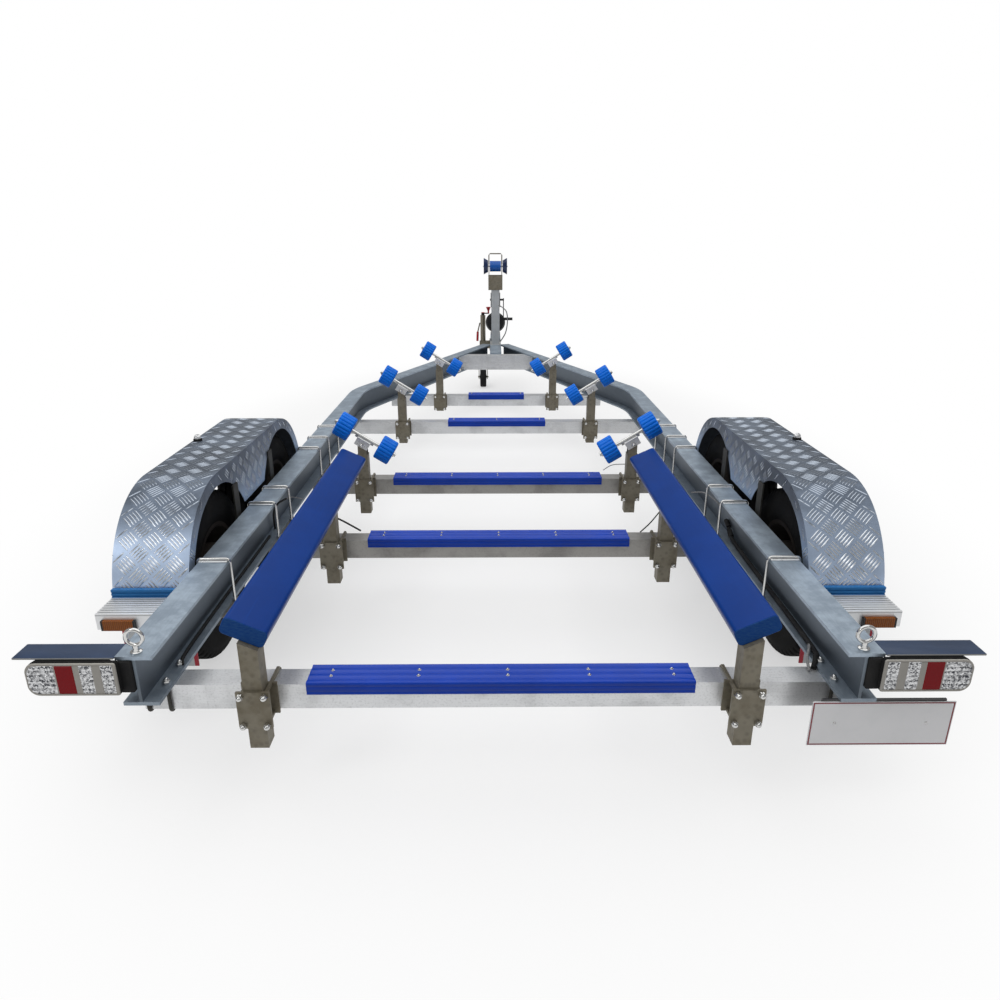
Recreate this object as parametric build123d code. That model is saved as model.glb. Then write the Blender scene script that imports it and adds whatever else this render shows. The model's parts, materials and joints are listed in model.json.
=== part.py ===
from build123d import *
import math
import os

# Tandem-axle boat trailer, millimetres
# X to the right, Y from the rails' rear end to the coupling, Z up from the ground

# Driving dimensions
RAIL_TOP = 475.0
RAIL_H = 143.0
RAIL_W = 92.0
RAIL_T = 10.0
RAIL_WEB = 8.0
RAIL_X = 918.0
BEND_Y = 3320.0
BEND_R = 600.0
BEND_DEG = 21.6
RAIL_END = 5440.0
FRONT_Y = 4830.0
TAIL_Y = -38.0
NOSE_Y = 6458.0
TYRE_R = 305.0
TYRE_W = 185.0
RIM_R = 178.0
SPINDLE_R = 17.0
DRUM_R = 112.0
DRUM_IN = 96.0
WHEEL_X = 1100.0
WHEEL_Y = 1226.0
TYRE_CLEAR = 35.0
TYRE_SPACE = 162.0
BOX = 75.0
GUARD_IN = 980.0
GUARD_W = 242.0
GUARD_RISE = 37.0
ARCH_LIP = 45.0
SKIRT_DROP = 22.0
FLAP_LOW = 130.0
STEP_LEN = 108.0
BOARD_W = 252.0
LAMP_H = 100.0
PLATE_W = 372.0
PLATE_H = 134.0
STEP_DROP = 86.0
DRAWBAR_W = 100.0
DRAWBAR_H = 125.0
POST_S = 50.0
BUNK_X = 645.0
BUNK_W = 120.0
BUNK_T = 50.0
BUNK_DEG = 25.0
BUNK_Y = (50.0, 1600.0)
ROLLER_R = 60.0
ROLLER_W = 76.0
ROLLER_GAP = 220.0
CRADLE_DEG = 32.0
CRADLE_DROP = 30.0
JOCKEY_X = -122.0
JOCKEY_BACK = 608.0
JOCKEY_R = 100.0
WINCH_BACK = 1018.0
BOOSTER_BACK = 743.0
SEAT = 0.3
PIN_GAP = 0.5

# Cross-members: rear face Y, half length
MEMBERS = {
    "rear": (91.0, 960.0),
    "second": (1075.0, 905.0),
    "third": (1837.0, 905.0),
    "fourth": (2991.0, 960.0),
    "fifth": (3794.0, 770.0),
}
# Keel slides: cross-member, half length
SLIDES = (("rear", 520.0), ("second", 512.0), ("third", 508.0), ("fourth", 308.0), ("fifth", 204.0))
# Bunk posts: cross-member, foot height above the ground
BUNK_POSTS = (("rear", 172.0), ("second", 174.0))
# Roller posts: cross-member, centre X, foot height, pivot height
ROLLER_POSTS = (("third", 642.0, 177.0, 523.0), ("fourth", 590.0, 211.0, 546.0), ("fifth", 410.0, 233.0, 580.0))
# U-bolts over each rail: Y, what their nuts bear on below
U_BOLTS = ((570.0, "mount"), (1100.0, "member"), (1292.0, "mount"), (1880.0, "member"), (2080.0, "mount"), (2310.0, "plate"))
# Mount plates under each rail: from Y, to Y
PLATES = ((468.0, 606.0), (1150.5, 1322.0), (1912.5, 2110.0))

# Derived from the dimensions above
Y_MID = (TAIL_Y + NOSE_Y) / 2
WINCH_Y = NOSE_Y - WINCH_BACK
JOCKEY_Y = NOSE_Y - JOCKEY_BACK
BOOSTER_Y = NOSE_Y - BOOSTER_BACK
RAIL_BOT = RAIL_TOP - RAIL_H
BOX_TOP = RAIL_BOT
BOX_BOT = RAIL_BOT - BOX
WHEEL_GAP = 2 * TYRE_R + TYRE_SPACE
AXLES = {"rear": WHEEL_Y - WHEEL_GAP / 2, "front": WHEEL_Y + WHEEL_GAP / 2}
ARM_LEN = WHEEL_GAP / 2
GUARD_R = TYRE_R + TYRE_CLEAR
ARCH_R = GUARD_R - ARCH_LIP
GUARD_OUT = GUARD_IN + GUARD_W
GUARD_Z = TYRE_R + GUARD_RISE
STEP_TOP = RAIL_TOP - STEP_DROP
STEP_Y1 = AXLES["rear"] - GUARD_R - 14
STEP_Y0 = STEP_Y1 - STEP_LEN
BOLT_X = RAIL_X + RAIL_W / 2 + 6
BOARD_X = RAIL_X + RAIL_W / 2
LEG = 4 + SEAT


def block(x0, x1, y0, y1, z0, z1):
    """Box between two corners."""
    size = Box(abs(x1 - x0), abs(y1 - y0), abs(z1 - z0))
    return Pos((x0 + x1) / 2, (y0 + y1) / 2, (z0 + z1) / 2) * size


def rod(start, end, radius):
    """Round bar between two points."""
    a = Vector(*start)
    b = Vector(*end)
    plane = Plane(origin=a, z_dir=b - a)
    return extrude(plane * Circle(radius), (b - a).length)


def tube(start, end, outer, inner):
    """Round tube between two points."""
    return rod(start, end, outer) - rod(start, end, inner)


def pin(start, end, radius):
    """Bolt shank or small rod as a six-sided bar between two points."""
    a = Vector(*start)
    b = Vector(*end)
    plane = Plane(origin=a, z_dir=b - a)
    return extrude(plane * RegularPolygon(radius, 6), (b - a).length)


def u_bar(plane, a, b, crown, foot_a, foot_b, bar):
    """U-bolt in a plane: legs at a and b, a crown with cut corners, feet at two heights."""
    h = bar / 2
    cut = 1.6 * bar
    top = crown + h
    low = min(foot_a, foot_b)
    outline = Polyline(
        (a - h, foot_a), (a - h, top - cut), (a - h + cut, top), (b + h - cut, top), (b + h, top - cut),
        (b + h, foot_b), (b - h, foot_b), (b - h, crown - h), (a + h, crown - h), (a + h, foot_a), (a - h, foot_a),
    )
    return extrude(plane * make_face(outline), h, both=True)


def flipped(shape):
    """The same piece on the other side of the trailer."""
    return mirror(shape, about=Plane.YZ)


def join(pieces):
    """Several solids as one piece."""
    whole = pieces[0]
    for piece in pieces[1:]:
        whole = whole + piece
    return whole


def group(pieces):
    """Several solids that do not touch, kept as one piece."""
    return Compound(children=list(pieces))


def save(name, shape):
    """Write one sub-part in the shared frame."""
    export_step(Pos(0, -Y_MID, 0) * shape, os.path.join("parts", name + ".step"))


def hexagon(x, y, z, size, height, axis="Z"):
    """Hexagon head or nut that starts at the point and grows along an axis."""
    ways = {"Z": (0, 0, 1), "-Z": (0, 0, -1), "Y": (0, 1, 0), "-Y": (0, -1, 0), "X": (1, 0, 0), "-X": (-1, 0, 0)}
    plane = Plane(origin=(x, y, z), z_dir=ways[axis])
    return extrude(plane * RegularPolygon(size, 6), height)


def rail_x(y):
    """Centre of the right rail's sloping front run at a distance from the rear."""
    return RAIL_X - math.tan(math.radians(BEND_DEG)) * (y - BEND_Y)


def rail_strip(wide, z0, z1):
    """Upright strip that follows the right rail's centre line."""
    turn = math.radians(BEND_DEG)
    run = BEND_R * math.tan(turn / 2)
    centre = (RAIL_X - BEND_R, BEND_Y - run)
    along = (-math.sin(turn), math.cos(turn))
    last = (rail_x(RAIL_END), RAIL_END)

    def edge(offset):
        r = BEND_R + offset
        start = (centre[0] + r, centre[1])
        half = (centre[0] + r * math.cos(turn / 2), centre[1] + r * math.sin(turn / 2))
        stop = (centre[0] + r * math.cos(turn), centre[1] + r * math.sin(turn))
        tip = (last[0] + offset * along[1], last[1] - offset * along[0])
        return start, half, stop, tip

    a = edge(wide / 2)
    b = edge(-wide / 2)
    outline = [
        Line((a[0][0], 0), a[0]),
        ThreePointArc(a[0], a[1], a[2]),
        Line(a[2], a[3]),
        Line(a[3], b[3]),
        Line(b[3], b[2]),
        ThreePointArc(b[2], b[1], b[0]),
        Line(b[0], (b[0][0], 0)),
        Line((b[0][0], 0), (a[0][0], 0)),
    ]
    return extrude(Pos(0, 0, z0) * make_face(outline), z1 - z0)


def rail():
    """Right main rail: an I-beam, straight, then bent in towards the drawbar."""
    beam = rail_strip(RAIL_WEB, RAIL_BOT + RAIL_T, RAIL_TOP - RAIL_T)
    beam = beam + rail_strip(RAIL_W, RAIL_BOT, RAIL_BOT + RAIL_T)
    beam = beam + rail_strip(RAIL_W, RAIL_TOP - RAIL_T, RAIL_TOP)
    return beam - block(-100, DRAWBAR_W / 2, 5000, 6000, 0, 1000)


def members(names):
    """Square cross-members under the rails."""
    bars = []
    for name in names:
        y, half = MEMBERS[name]
        bar = block(-half, half, y, y + BOX, BOX_BOT, BOX_TOP)
        bar = bar - block(-half - 1, half + 1, y + 4, y + BOX - 4, BOX_BOT + 4, BOX_TOP - 4)
        for hole, bears in U_BOLTS:
            if bears == "member" and y < hole < y + BOX:
                for x in (BOLT_X - RAIL_X - RAIL_X, RAIL_X + RAIL_X - BOLT_X):
                    bar = bar - block(x - LEG, x + LEG, hole - LEG, hole + LEG, BOX_BOT - 1, BOX_TOP + 1)
        bars.append(bar)
    return group(bars)


def front_member():
    """Wide ribbed member between the rails' sloping runs."""
    y0 = FRONT_Y
    y1 = FRONT_Y + BOX
    z0 = RAIL_BOT + RAIL_T
    z1 = RAIL_TOP - RAIL_T
    wide = rail_x(y0) - RAIL_WEB / 2 / math.cos(math.radians(BEND_DEG))
    slope = math.tan(math.radians(BEND_DEG)) * (y1 - y0)
    outline = Polyline((-wide, y0), (wide, y0), (wide - slope, y1), (slope - wide, y1), (-wide, y0))
    face = make_face(outline)
    bar = extrude(Pos(0, 0, z0) * face, z1 - z0)
    grooves = [block(-500, 500, y0 - 1, y0 + 3, z0 + h, z0 + h + 7) for h in (14.0, 37.0, 60.0, 83.0, 103.0)]
    for groove in grooves:
        bar = bar - groove
    return bar


def keel_slides():
    """Smooth ribbed caps that wrap the top of each cross-member."""
    caps = []
    for name, half in SLIDES:
        y = MEMBERS[name][0]
        cap = block(-half, half, y - 10, y + BOX + 10, BOX_TOP - 26, BOX_TOP + 10)
        cap = cap - block(-half - 1, half + 1, y, y + BOX, BOX_TOP - 40, BOX_TOP)
        for offset in (14.0, 42.0, 70.0):
            cap = cap - block(-half - 1, half + 1, y - 7 + offset, y + offset, BOX_TOP + 7, BOX_TOP + 20)
        caps.append(cap)
    return group(caps)


def drawbar():
    """Box drawbar from the front member to the coupling."""
    z0 = RAIL_TOP - DRAWBAR_H
    y0 = FRONT_Y + BOX
    bar = block(-DRAWBAR_W / 2, DRAWBAR_W / 2, y0, NOSE_Y - 128, z0, RAIL_TOP)
    core = DRAWBAR_W / 2 - 5
    return bar - block(-core, core, y0 + 5, NOSE_Y - 100, z0 + 5, RAIL_TOP - 5)


def coupling():
    """Ball coupling: foot on the drawbar, neck and a head with a round socket."""
    ball_y = NOSE_Y - 36
    z = RAIL_TOP
    foot = block(-48, 48, NOSE_Y - 330, NOSE_Y - 150, z, z + 8)
    neck = loft(Sketch() + [
        Plane(origin=(0, NOSE_Y - 300, z + 33), z_dir=(0, 1, 0)) * Rectangle(64, 50),
        Plane(origin=(0, ball_y - 34, z + 30), z_dir=(0, 1, 0)) * Rectangle(60, 44),
    ])
    outline = Polyline((0, 2), (36, 2), (36, 48), (27, 60), (12, 66), (0, 66), (0, 2))
    turn = Plane(origin=(0, ball_y, z), x_dir=(1, 0, 0), z_dir=(0, -1, 0))
    head = revolve(turn * make_face(outline), axis=Axis((0, ball_y, z), (0, 0, 1)))
    body = foot + neck + head
    body = body - rod((0, ball_y, z - 5), (0, ball_y, z + 30), 25.5)
    latch = block(-11, 11, NOSE_Y - 250, NOSE_Y - 120, z + 58, z + 66)
    stem = block(-6, 6, NOSE_Y - 200, NOSE_Y - 170, z + 40, z + 60)
    return body + latch + stem


def winch_post():
    """Upright box post on the drawbar with its foot."""
    y0 = WINCH_Y - BOX / 2
    y1 = WINCH_Y + BOX / 2
    z0 = RAIL_TOP
    post = block(-37.5, 37.5, y0, y1, z0 + 6, z0 + 497)
    foot = block(-48, 48, y0 - 42, y1 + 42, z0, z0 + 6)
    return post + foot


def bow_bracket():
    """Clamp bracket round the post's top with two arms for the bow roller and a hoop over it."""
    y0 = WINCH_Y - BOX / 2
    y1 = WINCH_Y + BOX / 2
    z0 = RAIL_TOP + 492
    sleeve = block(-64, 64, y0 - 8, y1 + 8, z0, z0 + 128)
    sleeve = sleeve - block(-37.5 - SEAT, 37.5 + SEAT, y0 - SEAT, y1 + SEAT, z0 - 1, z0 + 5)
    sleeve = sleeve - block(-56, 56, y0, y1, z0 + 13, z0 + 130)
    body = sleeve
    roller_z = RAIL_TOP + 697
    for x in (-61.0, 55.0):
        arm = block(x, x + 6, WINCH_Y - 24, WINCH_Y + 24, z0 + 60, roller_z + 22)
        body = body + arm
    body = body - rod((-90, WINCH_Y, roller_z), (90, WINCH_Y, roller_z), 8 + PIN_GAP)
    plane = Plane(origin=(0, WINCH_Y, 0), x_dir=(1, 0, 0), z_dir=(0, -1, 0))
    foot = roller_z + 15
    return body + u_bar(plane, -58, 58, roller_z + 108, foot, foot, 10)


def ribbed(plane, radius, depth, count, length):
    """Roller with ribs along its axle: a toothed outline extruded."""
    points = []
    for index in range(count):
        for part, reach in ((0.0, radius - depth), (0.22, radius), (0.78, radius)):
            turn = math.radians(360 / count * (index + part))
            points.append((reach * math.cos(turn), reach * math.sin(turn)))
    face = make_face(Polyline(*points, points[0]))
    return extrude(plane * face, length)


def bow_roller():
    """Centre roller with two flared cups on one spindle."""
    z = RAIL_TOP + 697
    side = Polyline(
        (-112, 0), (-112, 8), (-105, 8), (-105, 72), (-66, 50), (-66, 8), (-50, 8), (-50, 46), (50, 46),
        (50, 8), (66, 8), (66, 50), (105, 72), (105, 8), (112, 8), (112, 0), (-112, 0),
    )
    plane = Plane(origin=(0, WINCH_Y, z), x_dir=(1, 0, 0), z_dir=(0, -1, 0))
    return revolve(plane * make_face(side), axis=Axis((0, WINCH_Y, z), (1, 0, 0)))


def winch_frame():
    """Two cheeks, a back plate and a tie bar that carry the winch drum."""
    y0 = WINCH_Y + BOX / 2
    z = RAIL_TOP + 395
    body = block(-44, 44, y0, y0 + 6, z - 62, z + 62)
    outline = Polyline(
        (y0, z - 62), (y0 + 100, z - 62), (y0 + 125, z - 25), (y0 + 125, z + 25), (y0 + 95, z + 62), (y0, z + 62), (y0, z - 62),
    )
    for x in (-44.0, 39.0):
        plane = Plane(origin=(x, 0, 0), x_dir=(0, 1, 0), z_dir=(1, 0, 0))
        cheek = extrude(plane * make_face(outline), 5)
        cheek = cheek - rod((x - 1, y0 + 65, z), (x + 7, y0 + 65, z), 9 + PIN_GAP)
        body = body + cheek
    return body + pin((-42, y0 + 92, z - 48), (42, y0 + 92, z - 48), 5)


def winch_drum():
    """Drum with its wound strap, shaft and crank handle on the right."""
    y = WINCH_Y + BOX / 2 + 65
    z = RAIL_TOP + 395
    side = Polyline(
        (-50, 0), (-50, 9), (-36, 9), (-36, 36), (-31, 36), (-31, 26), (31, 26), (31, 36), (36, 36), (36, 9),
        (80, 9), (80, 0), (-50, 0),
    )
    plane = Plane(origin=(0, y, z), x_dir=(1, 0, 0), z_dir=(0, -1, 0))
    body = revolve(plane * make_face(side), axis=Axis((0, y, z), (1, 0, 0)))
    arm = block(71, 79, y - 13, y + 13, z - 190, z + 13)
    grip = rod((78, y, z - 175), (160, y, z - 175), 13)
    return body + arm + grip


def booster():
    """Brake booster canister on its stand in front of the winch post."""
    y = BOOSTER_Y
    z = RAIL_TOP
    mid = z + 170
    stand = block(-45, 45, y - 60, y + 70, z, z + 6)
    column = block(-40, 40, y - 20, y + 60, z + 6, z + 110)
    side = Polyline(
        (0, y - 25), (80, y - 25), (94, y - 4), (94, y + 4), (80, y + 25), (34, y + 25), (34, y + 100), (0, y + 100), (0, y - 25),
    )
    plane = Plane(origin=(0, 0, mid), x_dir=(1, 0, 0), z_dir=(0, 0, 1))
    drum = revolve(plane * make_face(side), axis=Axis((0, y, mid), (0, 1, 0)))
    return stand + column + drum


def jockey_clamp():
    """Clamp plate on the drawbar's side and the outer tube of the jockey stand."""
    z = RAIL_TOP
    x = JOCKEY_X
    edge = -DRAWBAR_W / 2
    plate = block(edge - 8, edge, JOCKEY_Y - 70, JOCKEY_Y + 70, z - 110, z - 10)
    arm = block(x, edge - 8, JOCKEY_Y - 32, JOCKEY_Y + 32, z - 95, z - 25)
    collar = block(x - 34, x, JOCKEY_Y - 32, JOCKEY_Y + 32, z - 95, z - 25)
    outer = rod((x, JOCKEY_Y, z - 120), (x, JOCKEY_Y, z + 222), 25)
    body = plate + arm + collar + outer
    body = body - rod((x, JOCKEY_Y, z - 175), (x, JOCKEY_Y, z + 214), 21.5)
    cap = rod((x, JOCKEY_Y, z + 222), (x, JOCKEY_Y, z + 250), 16)
    crank = block(x, x + 62, JOCKEY_Y - 8, JOCKEY_Y + 8, z + 236, z + 246)
    side = Polyline((0, z + 246), (8, z + 246), (8, z + 264), (24, z + 300), (0, z + 300), (0, z + 246))
    plane = Plane(origin=(x + 54, JOCKEY_Y, 0), x_dir=(1, 0, 0), z_dir=(0, -1, 0))
    knob = revolve(plane * make_face(side), axis=Axis((x + 54, JOCKEY_Y, 0), (0, 0, 1)))
    lever = pin((x - 30, JOCKEY_Y, z + 150), (x - 52, JOCKEY_Y, z + 60), 6)
    grip = pin((x - 52, JOCKEY_Y, z + 62), (x - 56, JOCKEY_Y, z - 26), 11)
    return body + cap + crank + knob + lever + grip


def jockey_leg():
    """Inner tube that slides down out of the stand."""
    x = JOCKEY_X
    top = RAIL_TOP + 90
    leg = rod((x, JOCKEY_Y, 240), (x, JOCKEY_Y, top), 20.5)
    foot = rod((x, JOCKEY_Y, 228), (x, JOCKEY_Y, 240), 27)
    return leg + foot


def jockey_fork():
    """Castor fork under the leg with the wheel's axle trailing."""
    x = JOCKEY_X
    back = JOCKEY_Y - 34
    body = block(x - 45, x + 45, back - 26, JOCKEY_Y + 30, 220, 227.5)
    for side in (-45.0, 39.0):
        cheek = block(x + side, x + side + 6, back - 24, back + 24, JOCKEY_R - 20, 221)
        body = body + cheek
    return body + rod((x - 52, back, JOCKEY_R), (x + 52, back, JOCKEY_R), 8)


def jockey_wheel():
    """Solid wheel of the jockey stand."""
    x = JOCKEY_X
    back = JOCKEY_Y - 34
    bore = 8 + PIN_GAP
    rim = JOCKEY_R - 28
    side = Polyline(
        (-34, bore), (-34, 20), (-14, 24), (-14, rim), (-30, rim), (-30, JOCKEY_R - 8), (-22, JOCKEY_R), (22, JOCKEY_R),
        (30, JOCKEY_R - 8), (30, rim), (14, rim), (14, 24), (34, 20), (34, bore), (-34, bore),
    )
    plane = Plane(origin=(x, back, JOCKEY_R), x_dir=(1, 0, 0), z_dir=(0, -1, 0))
    return revolve(plane * make_face(side), axis=Axis((x, back, JOCKEY_R), (1, 0, 0)))


def bunk():
    """Right bunk board, tilted so that its inner edge is lower."""
    length = BUNK_Y[1] - BUNK_Y[0]
    half = BUNK_W / 2
    outline = Polyline(
        (-half, -BUNK_T), (half, -BUNK_T), (half, -12), (half - 12, 0),
        (12 - half, 0), (-half, -12), (-half, -BUNK_T),
    )
    plane = Plane(origin=(0, 0, 0), x_dir=(1, 0, 0), z_dir=(0, -1, 0))
    board = extrude(plane * make_face(outline), -length)
    board = Rot(0, -BUNK_DEG, 0) * board
    return Pos(BUNK_X, BUNK_Y[0], RAIL_TOP + 60) * board


def clamp(x, y, z):
    """Plates, U-bolts and nuts that hold a post to a cross-member's rear face."""
    body = block(x - 48, x + 48, y - 6, y, z - 48, z + 48)
    plate = block(x - 44, x + 44, y - 14 - POST_S, y - 6 - POST_S, z - 55, z + 55)
    bolts = []
    for side in (-31.0, 31.0):
        low = BOX_BOT - 6.5
        high = BOX_TOP + 6.5
        foot = y - 26 - POST_S
        plane = Plane(origin=(x + side, 0, 0), x_dir=(0, 0, -1), z_dir=(1, 0, 0))
        bolts.append(u_bar(plane, -high, -low, y + BOX + 6.5, foot, foot, 8))
        for height in (low, high):
            bolts.append(hexagon(x + side, y - 14 - POST_S, height, 9, 9, "-Y"))
    return [body, plate] + bolts


def bunk_posts():
    """Right bunk posts with their clamps and the brackets under the board."""
    posts = []
    under = RAIL_TOP + 60 - BUNK_T / math.cos(math.radians(BUNK_DEG))
    slope = math.tan(math.radians(BUNK_DEG))
    for name, foot in BUNK_POSTS:
        y = MEMBERS[name][0]
        front = y - 6
        rear = front - POST_S
        x = BUNK_X
        low = under - slope * POST_S / 2
        high = under + slope * POST_S / 2
        side = Polyline(
            (x - POST_S / 2, foot), (x + POST_S / 2, foot),
            (x + POST_S / 2, high), (x - POST_S / 2, low), (x - POST_S / 2, foot),
        )
        plane = Plane(origin=(0, front, 0), x_dir=(1, 0, 0), z_dir=(0, -1, 0))
        post = extrude(plane * make_face(side), POST_S)
        posts.append(join([post] + clamp(x, y, (BOX_TOP + BOX_BOT) / 2)))
    return group(posts)


def roller_posts():
    """Right roller posts with their clamps; each ends in a fork for the cradle's pivot."""
    posts = []
    for name, x, foot, pivot in ROLLER_POSTS:
        y = MEMBERS[name][0]
        front = y - 6
        rear = front - POST_S
        post = block(x - POST_S / 2, x + POST_S / 2, rear, front, foot, pivot - 50)
        outline = Polyline(
            (x - 20, pivot - 52), (x + 20, pivot - 52), (x + 20, pivot + 10), (x + 10, pivot + 20),
            (x - 10, pivot + 20), (x - 20, pivot + 10), (x - 20, pivot - 52),
        )
        ears = []
        for far in (rear + 6, front):
            plane = Plane(origin=(0, far, 0), x_dir=(1, 0, 0), z_dir=(0, -1, 0))
            ears.append(extrude(plane * make_face(outline), 6))
        axle_pin = rod((x, rear - 10, pivot), (x, front + 10, pivot), 6)
        posts.append(join([post] + ears + [axle_pin] + clamp(x, y, (BOX_TOP + BOX_BOT) / 2)))
    return group(posts)


def cradle(row):
    """Tilted cradle on a post's pivot: a channel bracket under the rod for two rollers."""
    name, x, foot, pivot = ROLLER_POSTS[row]
    y = MEMBERS[name][0] - 6 - POST_S / 2
    half = ROLLER_GAP / 2
    rise = CRADLE_DROP
    web = block(-16, 16, -17, 17, -14, rise)
    bar = rod((-half - ROLLER_W / 2 - 14, 0, rise), (half + ROLLER_W / 2 + 14, 0, rise), 8)
    bracket = block(-48, 48, -14, 14, rise - 13, rise + 3)
    body = web + bar + bracket
    body = body - rod((0, -40, 0), (0, 40, 0), 6 + PIN_GAP)
    return Pos(x, y, pivot) * (Rot(0, -CRADLE_DEG, 0) * body)


def roller_pair(row):
    """Two ribbed wobble rollers on the cradle's rod."""
    name, x, foot, pivot = ROLLER_POSTS[row]
    y = MEMBERS[name][0] - 6 - POST_S / 2
    rollers = []
    for side in (-1, 1):
        near = side * ROLLER_GAP / 2 - ROLLER_W / 2
        plane = Plane(origin=(near, 0, CRADLE_DROP), z_dir=(1, 0, 0))
        wheel = ribbed(plane, ROLLER_R, 4, 20, ROLLER_W)
        bore = extrude(plane * RegularPolygon(8 + PIN_GAP + 1.2, 6), ROLLER_W)
        rollers.append(wheel - bore)
    pair = group(rollers)
    return Pos(x, y, pivot) * (Rot(0, -CRADLE_DEG, 0) * pair)


def rail_clamps():
    """Right rail's U-bolts with packers above the rail and plates below."""
    clamps = []
    inner_x = RAIL_X + RAIL_X - BOLT_X
    for y, bears in U_BOLTS:
        low = BOX_BOT if bears == "member" else RAIL_BOT - 6
        plane = Plane(origin=(0, y, 0), x_dir=(1, 0, 0), z_dir=(0, -1, 0))
        loop = u_bar(plane, inner_x, BOLT_X, RAIL_TOP + 8.5, low - 18, RAIL_BOT - 24, 8)
        pieces = [loop, block(RAIL_X - 46, RAIL_X + 46, y - 13, y + 13, RAIL_TOP, RAIL_TOP + 4.5)]
        if bears == "plate":
            pieces.append(block(RAIL_X - 60, RAIL_X + 60, y - 22, y + 22, RAIL_BOT - 6, RAIL_BOT))
        if bears == "member":
            pieces.append(block(RAIL_X - 12, RAIL_X + 60, y - 12, y + 12, RAIL_BOT - 6, RAIL_BOT))
        clamps.append(join(pieces))
    return clamps


def mount_plates():
    """Right mount plates under the rail."""
    pieces = []
    for y0, y1 in PLATES:
        base = block(RAIL_X - 60, RAIL_X + 60, y0, y1, RAIL_BOT - 6, RAIL_BOT)
        for hole, used in U_BOLTS:
            for x in (BOLT_X, RAIL_X + RAIL_X - BOLT_X):
                base = base - block(x - LEG, x + LEG, hole - LEG, hole + LEG, RAIL_BOT - 9, RAIL_BOT + 3)
        pieces.append(base)
    return pieces


def arms(name):
    """Trailing arms of one axle with their housings, spindles and brake back plates."""
    y = AXLES[name]
    pivot = y + ARM_LEN
    hub = TYRE_R
    top = RAIL_BOT - 6
    outline = Polyline(
        (y - 34, hub - 33), (y + 34, hub - 37), (pivot - 34, top - 66), (pivot + 34, top - 64), (pivot + 34, top - 14),
        (y + 90, top - 12), (y + 36, hub + 35), (y - 34, hub + 35), (y - 34, hub - 33),
    )
    near = BOLT_X + 9
    back_x = WHEEL_X - DRUM_IN - 5
    plane = Plane(origin=(near, 0, 0), x_dir=(0, 1, 0), z_dir=(1, 0, 0))
    arm = extrude(plane * make_face(outline), 12)
    housing = block(RAIL_X - RAIL_W / 2, near - 4, pivot - 32, pivot + 32, top - 64, top)
    shaft = rod((near - 5, pivot, top - 39), (near + 1, pivot, top - 39), 22)
    spindle = rod((near + 6, y, hub), (WHEEL_X + 36, y, hub), SPINDLE_R)
    back = rod((back_x - 9, y, hub), (back_x, y, hub), DRUM_R - 4)
    right = arm + housing + shaft + spindle + back
    return group([right, flipped(right)])


def tyre(side, y):
    """Road tyre turned about the axle."""
    half = TYRE_W / 2
    bead = half - 12
    outline = Polyline(
        (RIM_R + SEAT, -bead), (RIM_R + 52, -half), (TYRE_R - 16, 5 - half), (TYRE_R, 22 - half),
        (TYRE_R, half - 22), (TYRE_R - 16, half - 5), (RIM_R + 52, half), (RIM_R + SEAT, bead), (RIM_R + SEAT, -bead),
    )
    plane = Plane(origin=(side * WHEEL_X, y, TYRE_R), x_dir=(0, 0, 1), z_dir=(0, 1, 0))
    return revolve(plane * make_face(outline), axis=Axis((side * WHEEL_X, y, TYRE_R), (1, 0, 0)))


def wheel(side, y):
    """Rim with its disc, hub, grease cap and brake drum, turned about the axle."""
    z = TYRE_R
    lip = TYRE_W / 2 - 7
    seat = lip - 5
    inner = RIM_R - 5
    bore = SPINDLE_R + PIN_GAP
    outline = Polyline(
        (-DRUM_IN, bore), (-DRUM_IN, DRUM_R), (-44, DRUM_R), (-44, 44), (14, 44), (14, inner), (-lip, inner), (-lip, RIM_R + 11),
        (-seat - SEAT, RIM_R), (seat + SEAT, RIM_R), (lip, RIM_R + 11), (lip, inner), (21, inner), (21, 33),
        (60, 33), (60, 0), (42, 0), (42, bore), (-DRUM_IN, bore),
    )
    plane = Plane(origin=(side * WHEEL_X, y, z), x_dir=(side, 0, 0), z_dir=(0, 1, 0))
    body = revolve(plane * make_face(outline), axis=Axis((side * WHEEL_X, y, z), (1, 0, 0)))
    for count in range(8):
        turn = math.radians(45 * count)
        dy = 128 * math.cos(turn)
        dz = 128 * math.sin(turn)
        x = side * WHEEL_X
        body = body - pin((x + side * 8, y + dy, z + dz), (x + side * 27, y + dy, z + dz), 22)
    return body


def guard():
    """Right tandem mudguard: flat top, round ends and skirts with two wheel arches."""
    rear = AXLES["rear"]
    front = AXLES["front"]
    z = GUARD_Z
    low = z - SKIRT_DROP

    def outline(r, floor):
        return make_face([
            Line((rear - r, floor), (rear - r, z)),
            ThreePointArc((rear - r, z), (rear - r * math.sqrt(0.5), z + r * math.sqrt(0.5)), (rear, z + r)),
            Line((rear, z + r), (front, z + r)),
            ThreePointArc((front, z + r), (front + r * math.sqrt(0.5), z + r * math.sqrt(0.5)), (front + r, z)),
            Line((front + r, z), (front + r, floor)),
            Line((front + r, floor), (rear - r, floor)),
        ])

    plane = Plane(origin=(GUARD_IN, 0, 0), x_dir=(0, 1, 0), z_dir=(1, 0, 0))
    shell = extrude(plane * outline(GUARD_R, low), GUARD_OUT - GUARD_IN)
    core_plane = Plane(origin=(GUARD_IN + 3, 0, 0), x_dir=(0, 1, 0), z_dir=(1, 0, 0))
    core = extrude(core_plane * outline(GUARD_R - 3, low - 1), GUARD_OUT - GUARD_IN - 6)
    body = shell - core
    x0 = GUARD_IN - 5
    x1 = GUARD_OUT + 5
    for y in (rear, front):
        body = body - rod((x0, y, z), (x1, y, z), ARCH_R)
    body = body - block(x0, x1, rear - ARCH_R, front + ARCH_R, low - 5, z)
    body = body - block(x0, x1, rear, front, low - 5, RAIL_TOP + 13)
    return body


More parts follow.
